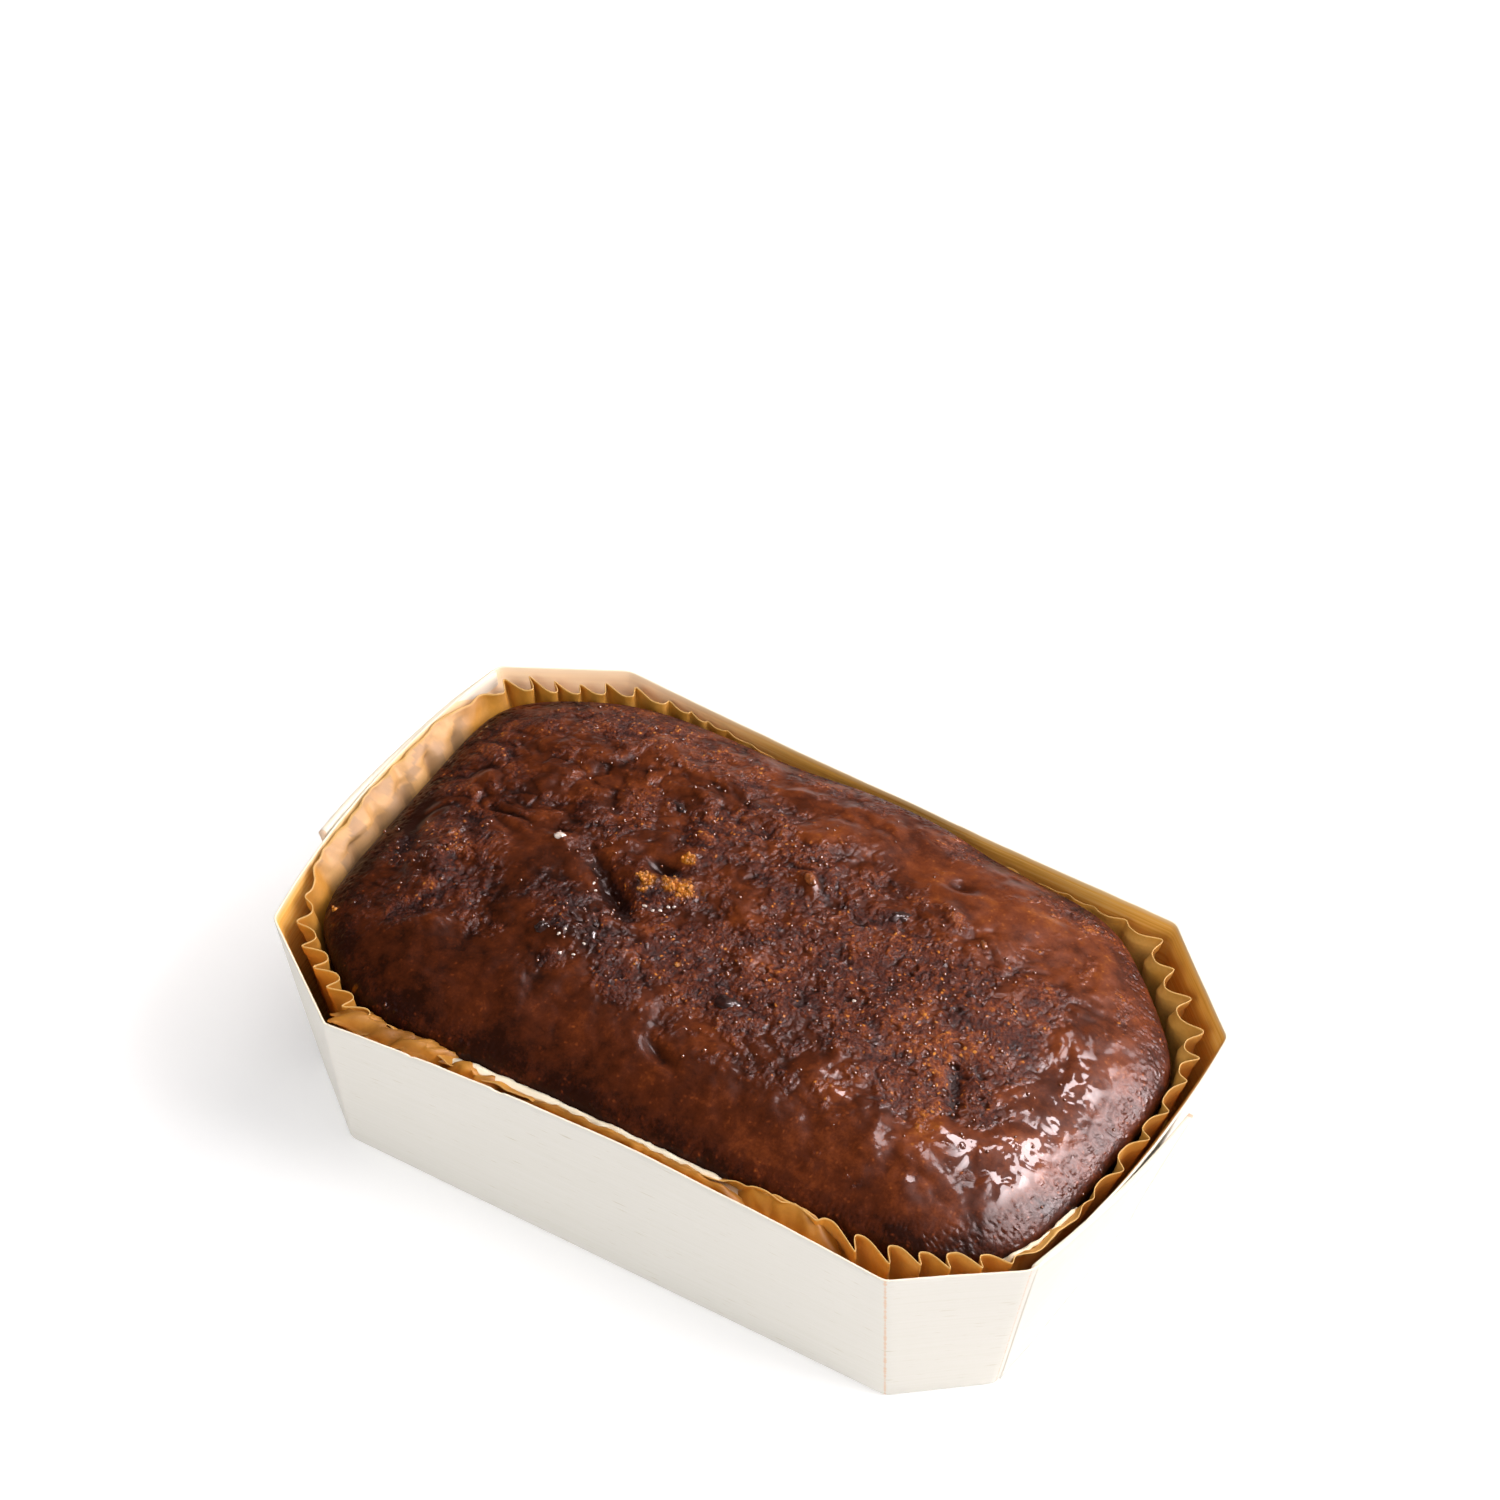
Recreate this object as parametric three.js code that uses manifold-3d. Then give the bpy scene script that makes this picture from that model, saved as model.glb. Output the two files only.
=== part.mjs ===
// Sticky toffee pudding: a domed loaf baked in a pleated paper liner inside a folded wooden tray.
// Millimetres, +Z up. The origin is on the surface the tray stands on, under the middle of its
// outline. +X runs along the loaf, and the front long side faces -Y.

import * as THREE from 'three';
import { mergeVertices } from 'three/addons/utils/BufferGeometryUtils.js';
import Module from 'manifold-3d';

// ---------------------------------------------------------------- driving dimensions

// Tray: poplar veneer, scored and folded up into an eight-sided box that flares towards its rim.
const trayHeight = 40.6;
const veneer = 1.2;
const baseLength = 157.5;
const baseWidth = 100.5;
const baseChamferX = 16.5;
const baseChamferY = 14;

// The rim's corners as the hand-folded sides splay, anticlockwise from the front left.
const rimCorners = [
  [-63.1, -57.1],
  [64.3, -55.0],
  [86.5, -37.7],
  [88.8, 34.3],
  [64.8, 55.7],
  [-64.6, 57.1],
  [-88.2, 43.6],
  [-87.3, -39.1],
];

// Each side starts at the corner of the same place in the list above. bow is how far the middle of
// its rim stands out of the straight line, gap is the room left beside the pudding for the paper,
// edge is the height of the pudding's upper edge, paper the height of the liner's, and pleats how
// open the paper's folds stand there: 0 is pressed flat.
const sides = [
  { name: 'front', bow: -3.1, steps: 10, gap: 4.6, edge: 36.6, paper: 38.6, pleats: 0.45 },
  { name: 'frontRight', bow: 0, steps: 2, gap: 4.4, edge: 36.0, paper: 38.8, pleats: 1 },
  { name: 'right', bow: 2.8, steps: 8, gap: 3.8, edge: 35.6, paper: 37.0, pleats: 0.8 },
  { name: 'backRight', bow: 0, steps: 2, gap: 8.4, edge: 36.4, paper: 37.4, pleats: 1 },
  { name: 'back', bow: -0.8, steps: 10, gap: 2.0, edge: 41.0, paper: 37.6, pleats: 0.3 },
  { name: 'backLeft', bow: 0, steps: 2, gap: 5.0, edge: 37.0, paper: 37.6, pleats: 1 },
  { name: 'left', bow: 3.8, steps: 8, gap: 5.2, edge: 36.6, paper: 39.4, pleats: 0.5 },
  { name: 'frontLeft', bow: 0, steps: 2, gap: 6.0, edge: 36.4, paper: 37.8, pleats: 0.9 },
];
const wallRows = 4;
const bowRise = 1.5;

// The glued outer flaps that lap over both ends: how far along the end each one reaches, and how
// far its unglued free end has sprung off the wall.
const flaps = [
  { side: 2, reach: 0.7, spring: 1.4 },
  { side: 6, reach: 0.7, spring: 1.0 },
];
const flapSteps = 10;
const flapStart = 0.02;
const flapGlued = 0.25;
const flapFoot = 0.4;
const flapBite = 0.4;
const flapRoot = 0.96;
const flapBottom = 0.6;
const flapDrop = 0.4;

// Paper liner.
const pleatPitch = 5;
const pointsPerPleat = 4;
const pleatEvenness = 0.85;
const pleatDrift = 0.37; // radians for each point, so that pleats open wider here than there
const paperThick = 0.4;
const paperRadial = 0.6;
const clearance = 0.35;
const baseGap = 3;
const arcSamples = 2000;

// The liner wall's rows, from its foot to its free edge: the share of its height, how wide the
// pleats swing, and where they stand between the pudding (0) and the tray (1).
const linerRows = [
  { height: 0, swing: 0.5, lean: 0.5 },
  { height: 0.5, swing: 0.9, lean: 0.5 },
  { height: 1, swing: 1, lean: 0.6 },
];

// Pudding.
const crownHeight = 50.6;
const outlineRounding = 20;
const domeFlatness = 2.5;
const domeShoulder = 1.8;
const gridAlong = 58;
const gridAcross = 34;
const edgeFade = 7; // the relief dies out over the last 1/7 of the way to the edge
const sauceCalm = 0.9; // how much of the crumb's roughness the sauce hides

// Relief of the top, by the part of the loaf it lies on. A smooth coat of sauce has run down the
// front slope and pooled along the back right, and the ridge between them is broken crumb.
const lumpCell = 10;
const lumpHeight = 1.0;
const crumbCell = 5;
const crumbHeight = 0.7;
const sauceBands = [
  { x: 0, y: -38, long: 70, wide: 10, turn: 0 },
  { x: 30, y: 37, long: 34, wide: 9, turn: -4 },
  { x: -46, y: -1, long: 12, wide: 5, turn: -8 },
];

// Ridges, lumps and hollows: centre, half length, half width, turn in degrees and height.
const marks = [
  { x: -29.5, y: -4, long: 9, wide: 2.6, turn: -36, rise: -3.6 }, // split with a date in it
  { x: -24.5, y: 6, long: 3.2, wide: 2, turn: -10, rise: -2.6 }, // hole over the torn crumb
  { x: -22, y: 3, long: 6.5, wide: 3, turn: 12, rise: 1.7 }, // torn golden crumb
  { x: -21.4, y: 11.5, long: 2.6, wide: 2, turn: 0, rise: 1.5 },
  { x: -76, y: -5, long: 11, wide: 1.8, turn: -74, rise: -1.9 }, // crease along the left end
  { x: -68, y: -11, long: 8, wide: 4.5, turn: -70, rise: 1.7 }, // crumb clump beside the crease
  { x: -59, y: -28.5, long: 8, wide: 2.2, turn: 32, rise: 1.4 }, // fold in the sauce
  { x: -31, y: -18.5, long: 5.5, wide: 3.6, turn: 0, rise: 1.6 }, // fruit under the sauce
  { x: -28.5, y: -13, long: 8, wide: 1.6, turn: 18, rise: 1.3 },
  { x: -46, y: 2.8, long: 3, wide: 2, turn: 20, rise: 1.2 }, // nut
  { x: 2.4, y: 18.2, long: 3.6, wide: 2.2, turn: -35, rise: 1.8 }, // nut
  { x: 31, y: 25.6, long: 3, wide: 1.8, turn: -40, rise: 1.2 }, // nut
  { x: 26.5, y: 35.5, long: 3.4, wide: 1.8, turn: 10, rise: -1.4 },
  { x: 0, y: -33.5, long: 4.5, wide: 1.4, turn: -25, rise: -1.1 },
  { x: 52.5, y: -10, long: 8, wide: 1.6, turn: -62, rise: -1.5 },
  { x: 76, y: -20, long: 8, wide: 3.4, turn: 62, rise: 0.9 },
  { x: 73, y: 21, long: 6, wide: 4, turn: 40, rise: 0.8 },
  { x: -44, y: 24, long: 13, wide: 3.4, turn: 4, rise: -1.3 },
  { x: -58, y: 10, long: 11, wide: 3, turn: 24, rise: -1.3 },
  { x: -12, y: 30, long: 12, wide: 3, turn: -12, rise: 1.0 },
  { x: 62, y: 6, long: 10, wide: 6, turn: -50, rise: -0.9 },
];

// ---------------------------------------------------------------- small helpers

const lerp = THREE.MathUtils.lerp;
const smooth = (t) => THREE.MathUtils.smoothstep(t, 0, 1);
const parabola = (s) => 4 * s * (1 - s);

// One closed body from closed rings of points: neighbouring rings are joined by strips, and the
// first and last are closed by a fan round their middle.
function loft(rings) {
  const size = rings[0].length;
  const points = rings.flat();
  const faces = [];
  for (let r = 0; r + 1 < rings.length; r += 1) {
    for (let i = 0; i < size; i += 1) {
      const a = r * size + i;
      const b = r * size + ((i + 1) % size);
      faces.push(a, b, b + size, a, b + size, a + size);
    }
  }
  const middle = (ring) =>
    ring.reduce((sum, p) => sum.add(p), new THREE.Vector3()).divideScalar(ring.length);
  const last = (rings.length - 1) * size;
  points.push(middle(rings[0]), middle(rings.at(-1)));
  for (let i = 0; i < size; i += 1) {
    const next = (i + 1) % size;
    faces.push(points.length - 2, next, i);
    faces.push(points.length - 1, last + i, last + next);
  }
  const geometry = new THREE.BufferGeometry();
  geometry.setFromPoints(points);
  geometry.setIndex(faces);
  return geometry;
}

// ---------------------------------------------------------------- tray outline

const baseCorners = [
  [-1, -1, true],
  [1, -1, true],
  [1, -1, false],
  [1, 1, false],
  [1, 1, true],
  [-1, 1, true],
  [-1, 1, false],
  [-1, -1, false],
].map(([signX, signY, onLongSide]) => [
  signX * (baseLength / 2 - (onLongSide ? baseChamferX : 0)),
  signY * (baseWidth / 2 - (onLongSide ? 0 : baseChamferY)),
]);

const sideNormals = rimCorners.map((corner, i) => {
  const next = rimCorners[(i + 1) % sides.length];
  return new THREE.Vector2(next[1] - corner[1], corner[0] - next[0]).normalize();
});

// The eight corners at level v (0 at the base, 1 at the rim), moved inwards by inset.
function cornersAt(v, inset) {
  const plain = rimCorners.map(
    (rim, i) =>
      new THREE.Vector2(lerp(baseCorners[i][0], rim[0], v), lerp(baseCorners[i][1], rim[1], v)),
  );
  const lines = plain.map((corner, i) => {
    const next = plain[(i + 1) % plain.length];
    const normal = new THREE.Vector2(next.y - corner.y, corner.x - next.x).normalize();
    return { normal, distance: normal.dot(corner) - inset };
  });
  return lines.map((line, i) => {
    const before = lines.at(i - 1);
    const cross = before.normal.cross(line.normal);
    return new THREE.Vector2(
      (before.distance * line.normal.y - line.distance * before.normal.y) / cross,
      (line.distance * before.normal.x - before.distance * line.normal.x) / cross,
    );
  });
}

// A point on side i of the tray, at s along it and at level v; out is measured off the outer face.
function wallPoint(i, s, v, out, corners = cornersAt(v, 0)) {
  const push = sides[i].bow * parabola(s) * v ** bowRise + out;
  return corners[i]
    .clone()
    .lerp(corners[(i + 1) % sides.length], s)
    .addScaledVector(sideNormals[i], push);
}

function wallRing(v, inset) {
  const corners = cornersAt(v, inset);
  return sides.flatMap((side, i) =>
    Array.from({ length: side.steps }, (_, k) => wallPoint(i, k / side.steps, v, 0, corners)),
  );
}

const levelOf = (z) => z / trayHeight;
const raise = (ring, z) => ring.map((p) => new THREE.Vector3(p.x, p.y, z));

function trayCup() {
  const outer = [];
  const inner = [];
  for (let row = 0; row <= wallRows; row += 1) {
    const v = row / wallRows;
    const innerZ = lerp(veneer, trayHeight, v);
    outer.push(raise(wallRing(v, 0), v * trayHeight));
    inner.push(raise(wallRing(levelOf(innerZ), veneer), innerZ));
  }
  return loft([...outer, ...inner.reverse()]);
}

// A flap continues the chamfer's sheet round the corner: it starts sunk in the wall, lies glued on
// it, and then springs away, more at its top than at its foot.
function trayFlap({ side, reach, spring }) {
  const heights = Array.from({ length: wallRows + 1 }, (_, row) =>
    THREE.MathUtils.clamp((row / wallRows) * trayHeight, flapBottom, trayHeight - flapDrop),
  );
  const sections = [];
  for (let step = 0; step <= flapSteps; step += 1) {
    const s = lerp(flapStart, reach, step / flapSteps);
    const sunk = lerp(-flapRoot, -flapBite, smooth(step / flapSteps / flapGlued));
    const freed = Math.max(0, (step / flapSteps - flapGlued) / (1 - flapGlued));
    const lift = (spring + flapBite) * freed;
    const face = (offset) =>
      heights.map((z) => {
        const v = levelOf(z);
        const p = wallPoint(side, s, v, sunk + offset + lift * lerp(flapFoot, 1, v));
        return new THREE.Vector3(p.x, p.y, z);
      });
    sections.push([...face(0), ...face(veneer).reverse()]);
  }
  return loft(sections);
}

// ---------------------------------------------------------------- pudding form

// The pudding's outline follows the eight walls at a distance and rounds their corners off: a
// power mean of the eight straight lines. depth is 0 at its base and 1 at its upper edge.
const sideAngles = sideNormals.map((n) => Math.atan2(n.y, n.x));
const puddingBase = veneer + paperThick + 2 * clearance;

function blend(angle, key) {
  let total = 0;
  let weight = 0;
  sideAngles.forEach((sideAngle, i) => {
    const w = Math.max(0, Math.cos(angle - sideAngle)) ** outlineRounding;
    total += w * sides[i][key];
    weight += w;
  });
  return total / weight;
}

function outlineRadius(angle, depth) {
  let sum = 0;
  sides.forEach((side, i) => {
    const v = levelOf(lerp(puddingBase, side.edge, depth));
    const middle = wallPoint(i, 0.5, v, -veneer);
    const distance = middle.dot(sideNormals[i]) - lerp(baseGap, side.gap, depth);
    sum += (Math.max(0, Math.cos(angle - sideAngles[i])) / distance) ** outlineRounding;
  });
  return sum ** (-1 / outlineRounding);
}

const edgeHeight = (angle) => blend(angle, 'edge');

// Smooth seeded noise from -1 to 1 on a square lattice.
function lattice(i, j, seed) {
  const t = Math.sin(i * 127.1 + j * 311.7 + seed * 74.7) * 43758.5453;
  return 2 * (t - Math.floor(t)) - 1;
}

function noise(x, y, cell, seed) {
  const i = Math.floor(x / cell);
  const j = Math.floor(y / cell);
  const fx = smooth(x / cell - i);
  const fy = smooth(y / cell - j);
  const low = lerp(lattice(i, j, seed), lattice(i + 1, j, seed), fx);
  const high = lerp(lattice(i, j + 1, seed), lattice(i + 1, j + 1, seed), fx);
  return lerp(low, high, fy);
}

// A rounded spot, 1 in its middle and near 0 past its half length and half width.
function spot(x, y, mark) {
  const turn = THREE.MathUtils.degToRad(mark.turn);
  const along = (x - mark.x) * Math.cos(turn) + (y - mark.y) * Math.sin(turn);
  const across = (y - mark.y) * Math.cos(turn) - (x - mark.x) * Math.sin(turn);
  return Math.exp(-((along / mark.long) ** 2) - (across / mark.wide) ** 2);
}

function relief(x, y) {
  const sauce = sauceBands.reduce((most, band) => Math.max(most, spot(x, y, band)), 0);
  const lumps = lumpHeight * noise(x, y, lumpCell, 1);
  const crumb = crumbHeight * (1 - sauceCalm * sauce) * noise(x, y, crumbCell, 2);
  return marks.reduce((sum, mark) => sum + mark.rise * spot(x, y, mark), lumps + crumb);
}

// A point of the top: ring 0 is the middle of the loaf and ring 1 its upper edge.
function topPoint(angle, ring) {
  const r = ring * outlineRadius(angle, 1);
  const x = r * Math.cos(angle);
  const y = r * Math.sin(angle);
  const edge = edgeHeight(angle);
  const dome = (1 - ring ** domeFlatness) ** (1 / domeShoulder);
  const fade = smooth((1 - ring) * edgeFade);
  return new THREE.Vector3(x, y, lerp(edge, crownHeight, dome) + fade * relief(x, y));
}

// The top is a grid wrapped onto the outline, so the triangles stay alike in size. Below its edge
// the same outline goes down to the flat base.
function puddingBody() {
  const points = [];
  const index = new Map();
  const faces = [];
  const halfLong = baseLength / 2;
  const halfWide = baseWidth / 2;
  const cellPoint = (i, j) => {
    const key = i * (gridAcross + 1) + j;
    if (!index.has(key)) {
      const u = (2 * i) / gridAlong - 1;
      const w = (2 * j) / gridAcross - 1;
      const ring = Math.max(Math.abs(u), Math.abs(w));
      index.set(key, points.length);
      points.push(topPoint(Math.atan2(w * halfWide, u * halfLong), ring));
    }
    return index.get(key);
  };
  for (let i = 0; i < gridAlong; i += 1) {
    for (let j = 0; j < gridAcross; j += 1) {
      const a = cellPoint(i, j);
      const b = cellPoint(i + 1, j);
      const c = cellPoint(i + 1, j + 1);
      const d = cellPoint(i, j + 1);
      if (i < gridAlong / 2 === j < gridAcross / 2) faces.push(a, b, c, a, c, d);
      else faces.push(a, b, d, b, c, d);
    }
  }
  const border = [];
  for (let i = 0; i < gridAlong; i += 1) border.push([i, 0]);
  for (let j = 0; j < gridAcross; j += 1) border.push([gridAlong, j]);
  for (let i = gridAlong; i > 0; i -= 1) border.push([i, gridAcross]);
  for (let j = gridAcross; j > 0; j -= 1) border.push([0, j]);
  let above = border.map(([i, j]) => cellPoint(i, j));
  const angles = above.map((p) => Math.atan2(points[p].y, points[p].x));
  for (const depth of [0.5, 0]) {
    const row = angles.map((angle) => {
      const r = outlineRadius(angle, depth);
      const z = lerp(puddingBase, edgeHeight(angle), depth);
      points.push(new THREE.Vector3(r * Math.cos(angle), r * Math.sin(angle), z));
      return points.length - 1;
    });
    row.forEach((low, k) => {
      const next = (k + 1) % row.length;
      faces.push(low, row[next], above[next], low, above[next], above[k]);
    });
    above = row;
  }
  points.push(new THREE.Vector3(0, 0, puddingBase));
  above.forEach((p, k) => faces.push(points.length - 1, above[(k + 1) % above.length], p));
  const geometry = new THREE.BufferGeometry();
  geometry.setFromPoints(points);
  geometry.setIndex(faces);
  return geometry;
}

// ---------------------------------------------------------------- paper liner

// Where a ray from the middle meets the tray's inner face at height z.
function wallRadius(angle, z) {
  const ring = wallRing(levelOf(z), veneer);
  const ray = new THREE.Vector2(Math.cos(angle), Math.sin(angle));
  for (let i = 0; i < ring.length; i += 1) {
    const p = ring[i];
    const edge = ring[(i + 1) % ring.length].clone().sub(p);
    const cross = ray.cross(edge);
    const along = p.cross(edge) / cross;
    const share = p.cross(ray) / cross;
    if (along > 0 && share >= 0 && share <= 1) return along;
  }
  throw new Error(`no wall at angle ${angle}`);
}

// Angles that step evenly along the pudding's edge, one pleat at a time.
function pleatAngles() {
  const travelled = [0];
  let before = null;
  for (let k = 0; k <= arcSamples; k += 1) {
    const angle = (2 * Math.PI * k) / arcSamples;
    const here = new THREE.Vector2(outlineRadius(angle, 1), 0).rotateAround(
      new THREE.Vector2(),
      angle,
    );
    if (before) travelled.push(travelled.at(-1) + here.distanceTo(before));
    before = here;
  }
  const pleats = Math.round(travelled.at(-1) / pleatPitch);
  const count = pleats * pointsPerPleat;
  const angles = [];
  let k = 0;
  for (let n = 0; n < count; n += 1) {
    const target = (travelled.at(-1) * n) / count;
    while (travelled[k + 1] < target) k += 1;
    const share = (target - travelled[k]) / (travelled[k + 1] - travelled[k]);
    angles.push((2 * Math.PI * (k + share)) / arcSamples);
  }
  return angles;
}

// The liner's wall waves between the pudding and the tray, from its foot up to its free edge. Where
// the pudding swells over the paper, the free edge ends below the pudding's.
function linerBody() {
  const angles = pleatAngles();
  const rowPoint = (angle, n, row, side) => {
    const phase = ((n % pointsPerPleat) / pointsPerPleat) * 2 * Math.PI;
    const wave = -0.5 * Math.cos(phase);
    const evenness = lerp(Math.sin(n * pleatDrift), 1, pleatEvenness);
    const open = blend(angle, 'pleats') * evenness;
    const z = lerp(puddingBase, blend(angle, 'paper'), row.height);
    const depth = (z - puddingBase) / (edgeHeight(angle) - puddingBase);
    const low = outlineRadius(angle, Math.min(1, depth)) + clearance;
    const high = wallRadius(angle, z) - clearance - paperRadial;
    const share = THREE.MathUtils.clamp(row.lean + row.swing * open * wave, 0, 1);
    const r = lerp(low, high, share) + side * paperRadial;
    return new THREE.Vector3(r * Math.cos(angle), r * Math.sin(angle), z);
  };
  const wall = (side) =>
    linerRows.map((row) => angles.map((angle, n) => rowPoint(angle, n, row, side)));
  const outer = wall(1);
  const inner = wall(0);
  const floorZ = veneer + clearance;
  outer[0].forEach((p) => p.setZ(floorZ));
  inner[0].forEach((p) => p.setZ(floorZ + paperThick));
  return loft([...outer, ...inner.reverse()]);
}

// ---------------------------------------------------------------- assembly

const wasm = await Module();
wasm.setup();

function toSolid(geometry) {
  const plain = mergeVertices(geometry, 1e-4);
  return new wasm.Manifold(
    new wasm.Mesh({
      numProp: 3,
      vertProperties: new Float32Array(plain.attributes.position.array),
      triVerts: new Uint32Array(plain.index.array),
    }),
  );
}

function toGeometry(solid) {
  const mesh = solid.getMesh();
  const geometry = new THREE.BufferGeometry();
  geometry.setAttribute('position', new THREE.BufferAttribute(mesh.vertProperties, 3));
  geometry.setIndex(new THREE.BufferAttribute(mesh.triVerts, 1));
  return geometry;
}

function named(name, geometry, look) {
  geometry.computeVertexNormals();
  const mesh = new THREE.Mesh(geometry, new THREE.MeshStandardMaterial({ metalness: 0, ...look }));
  mesh.name = name;
  return mesh;
}

const traySolid = flaps.reduce(
  (solid, flap) => solid.add(toSolid(trayFlap(flap))),
  toSolid(trayCup()),
);

const pudding = new THREE.Group();
pudding.add(
  named('tray', toGeometry(traySolid), { color: 0xe9dfc8, roughness: 0.7 }),
  named('liner', linerBody(), { color: 0xc09a5c, roughness: 0.6 }),
  named('pudding', puddingBody(), { color: 0x4a2313, roughness: 0.3 }),
);

// The sprung flaps and bowed rims are uneven, so the whole is moved until its outline is centred.
const outline = new THREE.Box3().setFromObject(pudding);
const middle = outline.getCenter(new THREE.Vector3());
pudding.position.set(-middle.x, -middle.y, 0);

export default pudding;
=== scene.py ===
# Sticky toffee pudding: a glazed date loaf in a pleated paper liner, inside a folded wooden tray.
# Shapes are worked out in millimetres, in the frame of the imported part, and become metres in the meshes.
import math

import bpy
import numpy as np
from mathutils import Matrix, Vector


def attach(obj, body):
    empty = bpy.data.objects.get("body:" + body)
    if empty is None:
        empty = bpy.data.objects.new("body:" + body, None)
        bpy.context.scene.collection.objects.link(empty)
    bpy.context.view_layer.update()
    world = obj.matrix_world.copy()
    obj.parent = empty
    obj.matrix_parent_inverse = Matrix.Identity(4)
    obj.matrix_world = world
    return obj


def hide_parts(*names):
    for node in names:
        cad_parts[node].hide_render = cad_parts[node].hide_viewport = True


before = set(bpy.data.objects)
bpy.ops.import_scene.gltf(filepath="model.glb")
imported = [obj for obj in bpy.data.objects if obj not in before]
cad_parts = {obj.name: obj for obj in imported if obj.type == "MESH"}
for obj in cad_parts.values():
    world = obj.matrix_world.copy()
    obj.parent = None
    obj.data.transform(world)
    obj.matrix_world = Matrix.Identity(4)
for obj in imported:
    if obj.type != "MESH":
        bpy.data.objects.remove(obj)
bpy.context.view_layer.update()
scene = bpy.context.scene
mm = 0.001


# Small tools

def lerp(a, b, t):
    return a + (b - a) * t


def smooth(t):
    t = np.clip(t, 0.0, 1.0)
    return t * t * (3 - 2 * t)


def lattice(i, j, seed):
    t = np.sin(i * 127.1 + j * 311.7 + seed * 74.7) * 43758.5453
    return 2 * (t - np.floor(t)) - 1


def softNoise(x, y, cell, seed):
    # smooth noise from -1 to 1 on a square lattice
    i, j = np.floor(x / cell), np.floor(y / cell)
    fx, fy = smooth(x / cell - i), smooth(y / cell - j)
    low = lerp(lattice(i, j, seed), lattice(i + 1, j, seed), fx)
    high = lerp(lattice(i, j + 1, seed), lattice(i + 1, j + 1, seed), fx)
    return lerp(low, high, fy)


def lineNoise(travel, cell, seed, row=0.0):
    # the same along a line, where row picks another line
    return softNoise(travel, travel * 0 + row, cell, seed)


def layeredNoise(x, y, cell, seed, layers=3):
    # each layer is turned, so that the lattice doesn't show
    total, weight = 0.0, 0.0
    for layer in range(layers):
        turn, share = 0.7 + 1.3 * layer, 0.55 ** layer
        u = x * math.cos(turn) + y * math.sin(turn)
        v = y * math.cos(turn) - x * math.sin(turn)
        total = total + share * softNoise(u, v, cell * 0.5 ** layer, seed + 11 * layer)
        weight += share
    return total / weight


def grains(x, y, size, seed):
    # distance to the nearest jittered grain's middle, in grains, and that grain's number from 0 to 1
    i0, j0 = np.floor(x / size), np.floor(y / size)
    nearest, pick = np.full(x.shape, 9.0), np.zeros(x.shape)
    for di in (-1, 0, 1):
        for dj in (-1, 0, 1):
            i, j = i0 + di, j0 + dj
            gap = np.hypot(x / size - i - 0.5 - 0.42 * lattice(i, j, seed),
                           y / size - j - 0.5 - 0.42 * lattice(i, j, seed + 31))
            closer = gap < nearest
            nearest = np.where(closer, gap, nearest)
            pick = np.where(closer, 0.5 + 0.5 * lattice(i, j, seed + 67), pick)
    return nearest, pick


def pebbles(near, pick, width, least):
    # rounded bumps from what grains gives, the lowest one least high
    return np.maximum(0, 1 - (near / width) ** 2) * lerp(least, 1, pick)


def summed(x, y, spots):
    # adds up soft oval spots: place, half length and half width, turn in degrees, strength
    total = 0.0
    for px, py, length, width, degrees, strength in spots:
        c, s = math.cos(math.radians(degrees)), math.sin(math.radians(degrees))
        along = ((x - px) * c + (y - py) * s) / length
        across = ((y - py) * c - (x - px) * s) / width
        total = total + strength * np.exp(-along ** 2 - across ** 2)
    return total


def makeMesh(name, points, faces, attributes=None):
    # points in mm; attributes maps a name to one number or one vector for each point
    mesh = bpy.data.meshes.new(name)
    mesh.from_pydata((np.asarray(points) * mm).tolist(), [], [list(map(int, f)) for f in faces])
    for key, values in (attributes or {}).items():
        values = np.asarray(values, np.float32)
        kind, field = ("FLOAT", "value") if values.ndim == 1 else ("FLOAT_VECTOR", "vector")
        mesh.attributes.new(key, kind, "POINT").data.foreach_set(field, values.ravel())
    mesh.shade_smooth()
    return addObject(name, mesh)


def addObject(name, data):
    item = bpy.data.objects.new(name, data)
    scene.collection.objects.link(item)
    return item


def loftFaces(ringCount, size, first=0, closed=True):
    # quads between neighbouring rings of points
    r, i = np.meshgrid(np.arange(ringCount - 1), np.arange(size if closed else size - 1), indexing="ij")
    a = first + r * size + i
    b = first + r * size + (i + 1) % size
    return np.stack([a, b, b + size, a + size], -1).reshape(-1, 4)


def fanFaces(ring, middle, flip):
    following = np.roll(ring, -1)
    fan = np.stack([np.full(len(ring), middle), ring, following], 1)
    return fan[:, [0, 2, 1]] if flip else fan


def finishPiece(piece, material, replaced=None, thickness=None, offset=-1.0):
    if thickness:
        wall = piece.modifiers.new("paperThickness", "SOLIDIFY")
        wall.thickness, wall.offset = thickness * mm, offset
    piece.data.materials.clear()
    piece.data.materials.append(material)
    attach(piece, "root")
    if replaced:
        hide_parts(replaced)
    print(f"{piece.name}: {sum(len(p.vertices) - 2 for p in piece.data.polygons)} triangles")


# Node tools: each adds to a tree, and most give back the result's socket

def toLinear(hexColour):
    channels = [int(hexColour[i:i + 2], 16) / 255 for i in (1, 3, 5)]
    return tuple(c / 12.92 if c <= 0.04045 else ((c + 0.055) / 1.055) ** 2.4 for c in channels) + (1.0,)


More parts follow.
